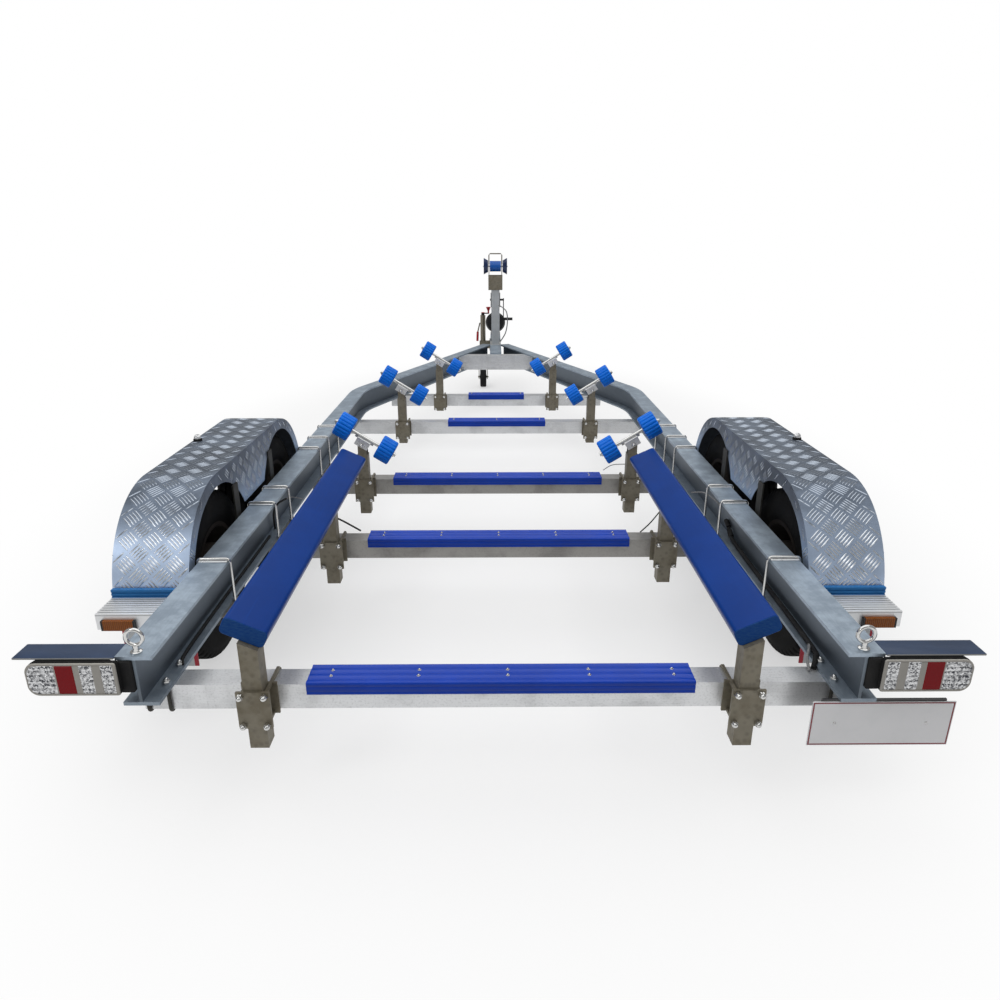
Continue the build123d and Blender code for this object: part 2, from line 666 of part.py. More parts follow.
def guard_brackets():
    """Right mudguard's arms from the rail's outer edge."""
    pieces = []
    for y in (WHEEL_Y - 226, WHEEL_Y + 224):
        arm = block(RAIL_X + RAIL_WEB / 2, GUARD_IN, y - 25, y + 25, RAIL_BOT + 60, RAIL_BOT + 66)
        foot = block(RAIL_X + RAIL_WEB / 2, RAIL_X + RAIL_WEB / 2 + 6, y - 25, y + 25, RAIL_BOT + 30, RAIL_BOT + 100)
        up = block(GUARD_IN - 6, GUARD_IN, y - 25, y + 25, RAIL_BOT + 60, GUARD_Z + GUARD_R - 90)
        pieces.append(arm + foot + up)
    return pieces


def step():
    """Right ribbed step behind the mudguard."""
    z1 = STEP_TOP
    z0 = z1 - 52
    y0 = STEP_Y0
    y1 = STEP_Y1
    body = block(RAIL_X + RAIL_W / 2 + SEAT, GUARD_OUT - 4, y0, y1, z0, z1)
    for count in range(7):
        y = y0 + 10 + 14 * count
        body = body - block(RAIL_X, GUARD_OUT, y, y + 5, z1 - 4, z1 + 5)
    arm = block(RAIL_X + RAIL_WEB / 2, RAIL_X + 50, y0 + 20, y1 - 20, z0 + 12, z0 + 40)
    return body + arm


def step_strip():
    """Ridged strip between the right step and the mudguard's rear end."""
    z0 = STEP_TOP - 9
    z1 = STEP_TOP + 26
    body = block(GUARD_IN + 5, GUARD_OUT - 4, STEP_Y1, STEP_Y1 + 15.5, z0, z1)
    for height in (7.0, 18.0):
        body = body - block(RAIL_X, GUARD_OUT, STEP_Y1 - 1, STEP_Y1 + 3, STEP_TOP + height - 4, STEP_TOP + height)
    return body


def side_lamp():
    """Right amber marker on the step's rear face."""
    return block(GUARD_OUT - 124, GUARD_OUT - 22, STEP_Y0 - 12, STEP_Y0, STEP_TOP - 50, STEP_TOP - 18)


def mudflap():
    """Right flap behind the rear tyre."""
    y = AXLES["rear"] - GUARD_R
    return block(GUARD_IN + 6, GUARD_OUT - 6, y + 3, y + 7, FLAP_LOW, GUARD_Z - 4)


def lamp_board():
    """Right lamp board: shelf and upright beyond the rail's end."""
    shelf = block(BOARD_X, BOARD_X + BOARD_W, -6, 64, RAIL_TOP - 4, RAIL_TOP)
    upright = block(BOARD_X, BOARD_X + BOARD_W, -6, 0, RAIL_TOP - 118, RAIL_TOP - 4)
    strap = block(RAIL_X + RAIL_WEB / 2, BOARD_X, -6, 0, RAIL_TOP - 100, RAIL_TOP - 40)
    return shelf + upright + strap


def tail_lamp():
    """Right rear lamp with a rounded outer end."""
    z1 = RAIL_TOP - 8
    z0 = z1 - LAMP_H
    x1 = BOARD_X + BOARD_W - 22 - LAMP_H / 2
    body = block(BOARD_X + 2, x1, TAIL_Y, -6, z0, z1)
    end = rod((x1, TAIL_Y, (z0 + z1) / 2), (x1, -6, (z0 + z1) / 2), LAMP_H / 2)
    return body + end


def number_plate():
    """Blank plate with its holder under the right rail's end."""
    z1 = RAIL_BOT - 6
    x0 = RAIL_X - 112
    x1 = x0 + PLATE_W
    plate = block(x0, x1, 8, 11, z1 - PLATE_H, z1)
    holder = block(x0 + 24, x1 - 24, 11, 17, z1 - PLATE_H + 14, RAIL_BOT)
    return plate + holder


def eye_bolt():
    """Right tie-down eye on the rail's rear end."""
    z = RAIL_TOP + 42
    ring = tube((RAIL_X, 17, z), (RAIL_X, 27, z), 27, 15)
    shank = pin((RAIL_X, 22, RAIL_TOP), (RAIL_X, 22, z - 22), 8)
    base = pin((RAIL_X, 22, RAIL_TOP), (RAIL_X, 22, RAIL_TOP + 5), 15)
    return ring + shank + base


def both(pieces):
    """The right-hand pieces and their mirror images as one group."""
    return group(list(pieces) + [flipped(piece) for piece in pieces])


def build():
    """Make every sub-part."""
    right_rail = rail()
    save("rail_right", right_rail)
    save("rail_left", flipped(right_rail))
    save("crossmembers_bright", members(("rear", "fourth", "fifth")))
    save("crossmembers_dark", members(("second", "third")))
    save("front_member", front_member())
    save("keel_slides", keel_slides())
    save("drawbar", drawbar())
    save("coupling", coupling())
    save("winch_post", winch_post())
    save("bow_bracket", bow_bracket())
    save("bow_roller", bow_roller())
    save("winch_frame", winch_frame())
    save("winch_drum", winch_drum())
    save("brake_booster", booster())
    save("jockey_clamp", jockey_clamp())
    save("jockey_leg", jockey_leg())
    save("jockey_fork", jockey_fork())
    save("jockey_wheel", jockey_wheel())
    save("bunk_right", bunk())
    save("bunk_left", flipped(bunk()))
    save("bunk_posts", both([bunk_posts()]))
    save("roller_posts_right", roller_posts())
    save("roller_posts_left", flipped(roller_posts()))
    for row in range(len(ROLLER_POSTS)):
        place = ("rear", "middle", "front")[row]
        save("cradle_" + place + "_right", cradle(row))
        save("cradle_" + place + "_left", flipped(cradle(row)))
        save("rollers_" + place + "_right", roller_pair(row))
        save("rollers_" + place + "_left", flipped(roller_pair(row)))
    save("rail_clamps", both(rail_clamps()))
    save("mount_plates", both(mount_plates()))
    for name, y in AXLES.items():
        save("arms_" + name, arms(name))
        for side, word in ((-1, "left"), (1, "right")):
            save("tyre_" + name + "_" + word, tyre(side, y))
            save("wheel_" + name + "_" + word, wheel(side, y))
    save("guard_right", guard())
    save("guard_left", flipped(guard()))
    save("guard_brackets", both(guard_brackets()))
    save("steps", both([step()]))
    save("step_strips", both([step_strip()]))
    save("side_lamps", both([side_lamp()]))
    save("mudflaps", both([mudflap()]))
    save("lamp_boards", both([lamp_board()]))
    save("tail_lamps", both([tail_lamp()]))
    save("number_plate", number_plate())
    save("eye_bolts", both([eye_bolt()]))


os.makedirs("parts", exist_ok=True)
build()
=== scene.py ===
import json
import math

import bmesh
import bpy
import numpy as np
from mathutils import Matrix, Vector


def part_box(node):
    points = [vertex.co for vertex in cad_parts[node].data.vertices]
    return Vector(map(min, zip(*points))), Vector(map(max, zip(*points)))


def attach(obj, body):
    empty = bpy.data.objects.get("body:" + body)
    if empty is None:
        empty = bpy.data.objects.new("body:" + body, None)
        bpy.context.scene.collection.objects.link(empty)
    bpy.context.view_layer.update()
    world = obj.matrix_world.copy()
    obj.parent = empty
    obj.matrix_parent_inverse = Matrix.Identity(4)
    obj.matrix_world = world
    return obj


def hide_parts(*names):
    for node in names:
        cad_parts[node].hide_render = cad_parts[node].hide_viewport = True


bl_info = {
    "name": "Boat trailer finish",
    "version": (1, 0, 0),
    "blender": (4, 5, 0),
    "location": "3D View > Sidebar > Trailer",
    "description": "Finishes, fittings and studio for a tandem-axle boat trailer",
    "category": "Object",
}

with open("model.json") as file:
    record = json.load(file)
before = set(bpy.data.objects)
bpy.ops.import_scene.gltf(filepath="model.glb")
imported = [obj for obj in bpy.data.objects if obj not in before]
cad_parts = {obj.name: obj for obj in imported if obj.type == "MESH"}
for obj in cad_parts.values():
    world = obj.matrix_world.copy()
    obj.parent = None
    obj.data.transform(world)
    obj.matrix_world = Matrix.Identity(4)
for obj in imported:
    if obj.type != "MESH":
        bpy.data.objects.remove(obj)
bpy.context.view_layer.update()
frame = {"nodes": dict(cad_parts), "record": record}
NODES = frame["nodes"]
MM = 0.001
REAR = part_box("rail_right")[0][1]
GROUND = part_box("tyre_rear_right")[0][2]
SIDES = (("right", 1.0), ("left", -1.0))
X_AXIS, Y_AXIS, Z_AXIS = (1.0, 0.0, 0.0), (0.0, 1.0, 0.0), (0.0, 0.0, 1.0)

# The Mix node's sockets for colours
COLOUR_A = 6
COLOUR_B = 7
COLOUR_OUT = 2

# Places in millimetres, as spot() takes them
RAIL_X = 918.0
RAIL_TOP = 475.0
MEMBER_TOP = 332.0
MEMBER_LOW = 257.0
WHEEL_X = 1100.0
WHEEL_Z = 305.0
POST_Y = 5440.0
# Axles: name and place along the trailer
AXLES = (("rear", 840.0), ("front", 1612.0))
# Keel slides: place along the trailer and half the length
SLIDES = ((91.0, 520.0), (1075.0, 512.0), (1837.0, 508.0), (2991.0, 308.0), (3794.0, 204.0))
# Roller cradles: name, distance from the middle, place along the trailer and the pivot's height
CRADLES = (("rear", 642.0, 1837.0, 523.0), ("middle", 590.0, 2991.0, 546.0), ("front", 410.0, 3794.0, 580.0))
CRADLE_TILT = math.radians(32.0)


def spot(x, y, z):
    """Metres from millimetres: right of centre, ahead of the rails' rear end, above the ground."""
    return np.array([x * MM, y * MM + REAR, z * MM])


# Meshes


class Skin:
    """Grids of points gathered into one mesh; each grid is a function of two parameters."""

    def __init__(self):
        self.points = []
        self.faces = []
        self.finish = []
        self.count = 0

    def add(self, points, faces, finish=0):
        """Adds points and faces; faces is an array with one row of point numbers for each face."""
        points = np.asarray(points, dtype=float).reshape(-1, 3)
        faces = np.asarray(faces, dtype=np.int64) + self.count
        self.points.append(points)
        self.faces.append(faces)
        self.finish.append(np.broadcast_to(np.asarray(finish, dtype=np.int64), (len(faces),)))
        self.count += len(points)

    def grid(self, points, wrap_u=False, wrap_v=False, finish=0):
        """Adds a surface given as an array of rows and columns of points, joined by four-sided faces."""
        rows, columns = points.shape[:2]
        self.add(points, cells(rows, columns, wrap_u, wrap_v), finish)

    def closed(self, rings, finish=0):
        """Rings of points joined into a tube whose two ends are closed."""
        rows, columns = rings.shape[:2]
        start = self.count
        self.add(rings, cells(rows, columns, wrap_v=True), finish)
        for row in (0, rows - 1):
            self.faces.append(np.arange(columns)[None] + start + row * columns)
            self.finish.append(np.full(1, finish))

    def bar(self, outline, start, end, across, up, bevel=0.0, finish=0):
        """An outline of (p, q) carried along a line: start + t (end - start) + p across + q up, drawn in at its ends."""
        outline = np.asarray(outline, dtype=float)
        start = np.asarray(start, dtype=float)
        end = np.asarray(end, dtype=float)
        step = bevel * (end - start) / np.linalg.norm(end - start)
        small = outline * (1.0 - bevel / np.abs(outline).max(axis=0))
        rows = [(start, small), (start + step, outline), (end - step, outline), (end, small)]
        rows = rows if bevel else rows[1:3]
        across, up = np.asarray(across), np.asarray(up)
        self.closed(np.stack([at + q[:, 0:1] * across + q[:, 1:2] * up for at, q in rows]), finish)

    def tube(self, path, radius, sides=10, finish=0):
        """A round bar along a path, closed at both ends."""
        self.closed(carried(path, radius, sides), finish)

    def object(self, name, finishes, body, angle=38.0, outward=True):
        """Makes the mesh object with its faces outward, gives it its finishes by name and lets it ride on a body."""
        mesh = bpy.data.meshes.new(name)
        points = np.concatenate(self.points)
        sizes = np.concatenate([np.full(len(f), f.shape[1]) for f in self.faces])
        corners = np.concatenate([f.ravel() for f in self.faces])
        mesh.vertices.add(len(points))
        mesh.vertices.foreach_set("co", points.ravel())
        mesh.loops.add(len(corners))
        mesh.loops.foreach_set("vertex_index", corners)
        mesh.polygons.add(len(sizes))
        mesh.polygons.foreach_set("loop_start", np.concatenate([[0], np.cumsum(sizes)[:-1]]))
        mesh.polygons.foreach_set("material_index", np.concatenate(self.finish))
        for finish in finishes:
            mesh.materials.append(FINISHES[finish])
        mesh.validate()
        mesh.update(calc_edges=True)
        if outward:
            shell = bmesh.new()
            shell.from_mesh(mesh)
            bmesh.ops.recalc_face_normals(shell, faces=shell.faces)
            shell.to_mesh(mesh)
            shell.free()
        piece = bpy.data.objects.new(name, mesh)
        bpy.context.scene.collection.objects.link(piece)
        mesh.polygons.foreach_set("use_smooth", np.ones(len(mesh.polygons), dtype=bool))
        mesh.set_sharp_from_angle(angle=math.radians(angle))
        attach(piece, body)
        return piece


def cells(rows, columns, wrap_u=False, wrap_v=False):
    """Point numbers of the four-sided faces between neighbouring rows and columns."""
    last_u, last_v = rows if wrap_u else rows - 1, columns if wrap_v else columns - 1
    i, j = np.meshgrid(np.arange(last_u), np.arange(last_v), indexing="ij")
    i2 = (i + 1) % rows
    j2 = (j + 1) % columns
    corners = [i * columns + j, i2 * columns + j, i2 * columns + j2, i * columns + j2]
    return np.stack(corners, axis=-1).reshape(-1, 4)


def turned(profile, steps, axis, side, centre, wobble=None):
    """A profile of (distance a, radius r) carried once round an axis: centre + axis a + r (side cos t + other sin t)."""
    profile = np.asarray(profile, dtype=float)
    t = np.linspace(0.0, 2 * math.pi, steps, endpoint=False)
    axis = np.asarray(axis, dtype=float)
    side = np.asarray(side, dtype=float)
    other = np.cross(axis, side)
    radius = np.repeat(profile[:, 1:2], steps, axis=1)
    if wobble is not None:
        radius = wobble(radius, t[None, :], profile[:, 0:1])
    ring = side * np.cos(t)[:, None] + other * np.sin(t)[:, None]
    return np.asarray(centre) + profile[:, None, 0:1] * axis + radius[..., None] * ring[None]


def copies(shape, faces, origins, across, along, up):
    """The same small shape at many places: origin + x across + y along + z up, for every origin at once."""
    points = (
        origins[:, None]
        + shape[None, :, 0:1] * across[:, None]
        + shape[None, :, 1:2] * along[:, None]
        + shape[None, :, 2:3] * up[:, None]
    )
    moved = faces[None] + (np.arange(len(origins)) * len(shape))[:, None, None]
    return points.reshape(-1, 3), moved.reshape(-1, faces.shape[1])


def carried(path, radius, sides=10):
    """A round section carried along a path: point + r (n cos t + b sin t), n and b square to the path."""
    path = np.asarray(path, dtype=float)
    tangent = np.gradient(path, axis=0)
    tangent /= np.linalg.norm(tangent, axis=1, keepdims=True)
    spare = np.array([0.31, 0.17, 0.93])
    normal = np.cross(tangent, spare)
    normal /= np.linalg.norm(normal, axis=1, keepdims=True)
    binormal = np.cross(tangent, normal)
    t = np.linspace(0.0, 2 * math.pi, sides, endpoint=False)
    radius = np.broadcast_to(np.asarray(radius, dtype=float), (len(path),))[:, None, None]
    ring = normal[:, None] * np.cos(t)[None, :, None] + binormal[:, None] * np.sin(t)[None, :, None]
    return path[:, None] + radius * ring


def rounded(width, height, radius, steps=6):
    """Outline of a rectangle whose corners are quarter circles: corner centre + r (cos t, sin t)."""
    t = np.linspace(0.0, math.pi / 2, steps)
    parts = []
    for k, (sx, sy) in enumerate(((1, 1), (-1, 1), (-1, -1), (1, -1))):
        a = t + k * math.pi / 2
        centre = np.array([sx * (width / 2 - radius), sy * (height / 2 - radius)])
        parts.append(centre + radius * np.stack([np.cos(a), np.sin(a)], axis=-1))
    return np.concatenate(parts)


def smooth(points, count=40):
    """A curve through points: cubic between neighbours, with each slope taken from the points on either side."""
    p = np.asarray(points, dtype=float)
    slope = np.gradient(p, axis=0)
    s = np.linspace(0.0, len(p) - 1.000001, count)
    i = s.astype(int)
    u = (s - i)[:, None]
    return (
        (2 * u**3 - 3 * u**2 + 1) * p[i] + (u**3 - 2 * u**2 + u) * slope[i]
        + (3 * u**2 - 2 * u**3) * p[i + 1] + (u**3 - u**2) * slope[i + 1]
    )


# Shader maths


class Field:
    """One socket of a material's tree; an expression on it adds the Math nodes that work it out."""

    def __init__(self, tree, socket):
        self.tree = tree
        self.socket = socket

    def math(self, operation, *values):
        node = self.tree.nodes.new("ShaderNodeMath")
        node.operation = operation
        for slot, value in zip(node.inputs, values):
            if isinstance(value, Field):
                self.tree.links.new(value.socket, slot)
            else:
                slot.default_value = value
        return Field(self.tree, node.outputs[0])

    def __add__(self, other):
        return self.math("ADD", self, other)

    def __radd__(self, other):
        return self.math("ADD", other, self)

    def __sub__(self, other):
        return self.math("SUBTRACT", self, other)

    def __rsub__(self, other):
        return self.math("SUBTRACT", other, self)

    def __mul__(self, other):
        return self.math("MULTIPLY", self, other)

    def __rmul__(self, other):
        return self.math("MULTIPLY", other, self)

    def __truediv__(self, other):
        return self.math("DIVIDE", self, other)

    def __pow__(self, other):
        return self.math("POWER", self, other)

    def __abs__(self):
        return self.math("ABSOLUTE", self)

    def wave(self, pitch):
        """Goes from 0 to 1 and back once in each pitch."""
        return self.math("SINE", self * (2 * math.pi / pitch)) * 0.5 + 0.5

    def within(self, low, high):
        """1 between two values and 0 outside them."""
        return self.math("GREATER_THAN", self, low) * self.math("LESS_THAN", self, high)

    def over(self, value):
        return self.math("GREATER_THAN", self, value)

    def rise(self, low, high):
        """Goes smoothly from 0 at low to 1 at high."""
        node = self.tree.nodes.new("ShaderNodeMapRange")
        node.interpolation_type = "SMOOTHSTEP"
        self.tree.links.new(self.socket, node.inputs["Value"])
        node.inputs["From Min"].default_value = low
        node.inputs["From Max"].default_value = high
        return Field(self.tree, node.outputs["Result"])

    def most(self, other):
        return self.math("MAXIMUM", self, other)

    def least(self, other):
        return self.math("MINIMUM", self, other)


class Finish:
    """A material whose tree is written as expressions on Object coordinates."""

    def __init__(self, name, **constants):
        self.material = bpy.data.materials.new(name)
        self.material.use_nodes = True
        self.tree = self.material.node_tree
        self.shader = self.tree.nodes["Principled BSDF"]
        self.put(self.shader, {key.replace("_", " "): value for key, value in constants.items()})
        self.place = self.node("ShaderNodeTexCoord").outputs["Object"]
        split = self.node("ShaderNodeSeparateXYZ", inputs={"Vector": self.place})
        self.x, self.y, self.z = [Field(self.tree, split.outputs[axis]) for axis in "XYZ"]

    def put(self, node, inputs):
        """Links or sets a node's sockets by name or number."""
        for key, value in inputs.items():
            if isinstance(value, Field):
                value = value.socket
            if isinstance(value, bpy.types.NodeSocket):
                self.tree.links.new(value, node.inputs[key])
            else:
                node.inputs[key].default_value = value

    def node(self, kind, settings=None, inputs=None):
        """Any node: its settings first, then the values or links of its sockets."""
        node = self.tree.nodes.new(kind)
        for key, value in (settings or {}).items():
            setattr(node, key, value)
        self.put(node, inputs or {})
        return node

    def noise(self, scale, detail, rough, stretch=(1.0, 1.0, 1.0)):
        """Cloudy pattern from 0 to 1, stretched by axis."""
        mapping = self.node("ShaderNodeMapping", inputs={"Vector": self.place, "Scale": stretch})
        node = self.node("ShaderNodeTexNoise", inputs={
            "Vector": mapping.outputs[0], "Scale": scale, "Detail": detail, "Roughness": rough})
        return Field(self.tree, node.outputs[0])

    def cellular(self, scale):
        """Small cells: distance to the cell's middle, and a colour for each cell."""
        node = self.node("ShaderNodeTexVoronoi", {"feature": "F1"}, {"Vector": self.place, "Scale": scale})
        return Field(self.tree, node.outputs["Distance"]), node.outputs["Color"]

    def mix(self, factor, a, b):
        """Colour between a and b."""
        node = self.node("ShaderNodeMix", {"data_type": "RGBA"}, {0: factor, COLOUR_A: a, COLOUR_B: b})
        return node.outputs[COLOUR_OUT]

    def set(self, **inputs):
        self.put(self.shader, {key.replace("_", " "): value for key, value in inputs.items()})
        return self

    def bump(self, height, distance, strength=1.0):
        """Raises the surface by a height pattern."""
        node = self.node("ShaderNodeBump", inputs={"Height": height, "Distance": distance, "Strength": strength})
        self.put(self.shader, {"Normal": node.outputs[0]})
        return self


def rgba(colour):
    return (colour[0], colour[1], colour[2], 1.0)


def shade(colour, factor):
    """The same colour, lighter or darker."""
    return tuple(min(1.0, channel * factor) for channel in colour[:3]) + (1.0,)


def colours():
    return bpy.context.scene.trailer_colours


def sizes():
    return bpy.context.scene.trailer_sizes


def studio():
    return bpy.context.scene.trailer_studio


def metal(name, colour, grain, polish, stain, speckle, metallic):
    """Drawn or dipped metal: lines along the grain, cloudy stains and fine pits."""
    f = Finish(name, Metallic=metallic)
    lines = f.noise(220.0, 4.0, 0.7, stretch=grain)
    cloud = f.noise(9.0, 5.0, 0.62)
    fine = f.noise(160.0, 2.0, 0.5)
    worn = (cloud.rise(0.42, 0.68) * stain).least(1.0)
    base = f.mix(worn, rgba(colour), shade(colour, 0.62))
    base = f.mix(lines.rise(0.35, 0.75) * 0.22, base, shade(colour, 1.28))
    base = f.mix(fine.rise(0.5, 0.7) * speckle, base, shade(colour, 0.5))
    f.set(Base_Color=base, Roughness=polish + lines * 0.12 + worn * 0.25)
    return f.bump(lines * 0.6 + fine * 0.4, 0.0006, 0.35).material


def dipped(name, colour, spangle=55.0):
    """Hot-dip zinc: spangle cells of slightly different grey over a brown-grey stain."""
    f = Finish(name, Metallic=0.55)
    near = f.cellular(spangle)[0]
    cloud = f.noise(14.0, 5.0, 0.65)
    fine = f.noise(240.0, 3.0, 0.6)
    base = f.mix(near.rise(0.1, 0.55) * 0.5, shade(colour, 0.82), shade(colour, 1.3))
    stained = shade((colour[0] * 1.05, colour[1] * 0.95, colour[2] * 0.78), 0.62)
    base = f.mix(cloud.rise(0.4, 0.72) * 0.55, base, stained)
    f.set(Base_Color=base, Roughness=0.42 + cloud * 0.2 + fine * 0.1)
    return f.bump(near * 0.5 + fine * 0.5, 0.0007, 0.4).material


def plastic(name, colour, gloss, grain=(1.0, 1.0, 1.0), scuff=0.2, coat=0.0, shine=0.3):
    """Moulded or drawn plastic: faint flow lines, scuffs and a skin of gloss."""
    f = Finish(name, Coat_Weight=coat, Coat_Roughness=0.12, Specular_IOR_Level=shine)
    flow = f.noise(90.0, 3.0, 0.6, stretch=grain)
    cloud = f.noise(7.0, 4.0, 0.6)
    fine = f.noise(420.0, 2.0, 0.5)
    base = f.mix(cloud.rise(0.35, 0.75) * 0.5, shade(colour, 0.88), shade(colour, 1.14))
    rubbed = shade((colour[0] + 0.012, colour[1] + 0.02, colour[2] + 0.03), 1.5)
    base = f.mix(flow.rise(0.6, 0.82) * scuff, base, rubbed)
    f.set(Base_Color=base, Roughness=gloss + flow * 0.12 + cloud * 0.08)
    return f.bump(flow * 0.5 + fine * 0.5, 0.0005, 0.3).material


def rubber(name, colour, rough, dust_and_shade):
    """Dull rubber, dusty in its hollows."""
    f = Finish(name, Specular_IOR_Level=0.12)
    cloud = f.noise(11.0, 5.0, 0.65)
    fine = f.noise(380.0, 3.0, 0.6)
    dusty = shade((colour[0] + 0.05, colour[1] + 0.047, colour[2] + 0.04), 1.2)
    base = f.mix(cloud.rise(0.4, 0.75) * dust_and_shade, rgba(colour), dusty)
    f.set(Base_Color=base, Roughness=rough + cloud * 0.18)
    return f.bump(fine * 0.7 + cloud * 0.3, 0.0006, 0.5).material


# Settings


def tint(name, description, default):
    return bpy.props.FloatVectorProperty(
        name=name, description=description, default=default, subtype="COLOR", size=3, min=0.0, max=1.0)


def length(name, description, default):
    return bpy.props.FloatProperty(
        name=name, description=description, default=default, unit="LENGTH", subtype="DISTANCE", min=0.0)


def power(name, description, default):
    return bpy.props.FloatProperty(
        name=name, description=description, default=default, unit="POWER", subtype="POWER")


class TrailerColours(bpy.types.PropertyGroup):
    """Colours of the trailer's finishes."""

    rail: tint("Rails", "Mill-finish aluminium of the rails and drawbar", (0.34, 0.41, 0.49))
    bright: tint("Bright members", "Clean aluminium of the cross-members and steps", (0.70, 0.71, 0.72))
    stained: tint("Stained members", "Weathered aluminium of the middle cross-members", (0.36, 0.35, 0.33))
    tread: tint("Mudguards", "Tread-plate ground colour", (0.22, 0.27, 0.35))
    zinc: tint("Dipped steel", "Hot-dip zinc on posts, clamps and axles", (0.22, 0.20, 0.155))
    plate: tint("Plated steel", "Bright zinc plate on bolts and clamps", (0.56, 0.56, 0.54))
    slide: tint("Slides", "Blue plastic of the keel slides", (0.001, 0.050, 0.46))
    bunk: tint("Bunks", "Blue plastic of the bunk boards", (0.0005, 0.040, 0.25))
    roller: tint("Rollers", "Blue plastic of the rollers", (0.002, 0.19, 0.86))
    board: tint("Lamp boards", "Painted lamp boards", (0.03, 0.055, 0.115))


class TrailerSizes(bpy.types.PropertyGroup):
    """Sizes of the trailer's fittings and surface patterns."""

    cell: length("Tread cell", "Side of one square of tread bars", 0.055)
    bar_length: length("Tread bar length", "Length of one raised bar", 0.046)
    bar_width: length("Tread bar width", "Width of one raised bar", 0.0058)
    bar_height: length("Tread bar height", "Height of one raised bar", 0.0017)
    rib_depth: length("Roller rib depth", "Depth of the grooves round a roller", 0.0042)
    tread_depth: length("Tyre groove depth", "Depth of the tyre's grooves", 0.0075)
    ribs: bpy.props.IntProperty(name="Roller ribs", description="Ribs round one roller", default=20, min=6, max=60)


class TrailerStudio(bpy.types.PropertyGroup):
    """Camera and light."""

    lens: bpy.props.FloatProperty(
        name="Lens", description="Camera focal length", default=26.80, unit="CAMERA", subtype="DISTANCE_CAMERA")
    lamp: power("Overhead lamp", "Power of the overhead soft lamp", 420.0)
    key: power("Key lamp", "Power of the side key lamp", 60.0)
    ambient: bpy.props.FloatProperty(name="Ambient", description="Strength of the surrounding light", default=0.34)


# Finishes by the record's slot, or by a name of their own

FINISHES = {}


def treadplate_finish():
    """Rolled plate between the raised bars: blue-grey, with the roll's fine lines and worn edges; painted light makes
    it pale low down and dark on top, and painted shade makes it near black inside the wheel arches.
    """
    c = colours()
    f = Finish("treadplate", Metallic=0.8)
    cloud = f.noise(6.0, 5.0, 0.6)
    lines = f.noise(300.0, 3.0, 0.7, stretch=(1.0, 0.08, 1.0))
    fine = f.noise(220.0, 2.0, 0.5)
    # beyond, above and under find the plate inside each wheel arch, where painted shade goes
    beyond = (abs(f.y - (REAR + 1.226)) - 0.386).most(0.0)
    above = (f.z - 0.342).most(0.0)
    under = (1.0 - ((beyond * beyond + above * above) ** 0.5).over(0.3385)) * abs(f.x).within(0.9835, 1.2185)
    # Painted light and shade: pale low on the skirts, dark on the flat top
    base = f.mix(f.z.rise(0.46, 0.64), shade(c.tread, 2.7), shade(c.tread, 0.4))
    base = f.mix(cloud.rise(0.35, 0.7) * 0.5, base, shade(c.tread, 1.25))
    # Painted shade: near black inside the wheel arches
    base = f.mix(under * (0.75 + cloud * 0.25), base, (0.012, 0.012, 0.013, 1.0))
    f.set(Base_Color=base, Roughness=0.3 + cloud * 0.15 + lines * 0.1 + under * 0.3, Metallic=0.8 - under * 0.7)
    return f.bump(lines * 0.5 + fine * 0.5, 0.0005, 0.3).material


def bars_finish():
    """Worn bright bars, with painted shade making them greyer on the mudguards' flat tops."""
    f = Finish("tread_bars", Metallic=0.9)
    cloud = f.noise(8.0, 5.0, 0.6)
    fine = f.noise(160.0, 2.0, 0.5)
    # Painted shade: bars on the flat tops greyer than low down
    base = f.mix(f.z.rise(0.5, 0.665), (0.76, 0.79, 0.82, 1.0), (0.40, 0.45, 0.52, 1.0))
    base = f.mix(cloud.rise(0.42, 0.68) * 0.4, base, (0.30, 0.33, 0.38, 1.0))
    f.set(Base_Color=base, Roughness=0.17 + cloud * 0.14)
    return f.bump(fine, 0.0004, 0.3).material


def rail_finish():
    """Mill-finish rail: long drawing lines, blotched oxide, painted shade on the web, and more painted shade towards
    the bottom.
    """
    c = colours()
    f = Finish("rail_aluminium", Metallic=0.72)
    lines = f.noise(260.0, 4.0, 0.7, stretch=(1.0, 0.02, 1.0))
    blotch = f.noise(16.0, 6.0, 0.68)
    fine = f.noise(200.0, 3.0, 0.55)
    # low: where painted shade darkens the rail towards its bottom
    low = 1.0 - f.z.rise(0.335, 0.45)
    oxide = shade((c.rail[0] * 1.08, c.rail[1] * 1.05, c.rail[2]), 1.42)
    base = f.mix(blotch.rise(0.38, 0.66) * 0.6, shade(c.rail, 0.9), oxide)
    base = f.mix(lines.rise(0.4, 0.7) * 0.25, base, shade(c.rail, 0.66))
    # Painted shade on the web
    web = f.z.within(0.3425, 0.4645)
    base = f.mix(web * 0.8, base, shade(c.rail, 0.33))
    # Painted shade: darker towards the bottom, blotched
    base = f.mix(low * (0.2 + blotch * 0.25), base, (0.05, 0.05, 0.052, 1.0))
    f.set(Base_Color=base, Roughness=0.36 + blotch * 0.18 + low * 0.1)
    return f.bump(lines * 0.55 + fine * 0.45, 0.0007, 0.35).material


def slide_finish():
    """Glossy drawn plastic: fine lines along the slide."""
    c = colours()
    return plastic("slide_plastic", c.slide, 0.1, grain=(0.04, 1.0, 1.0), scuff=0.04, shine=0.24)


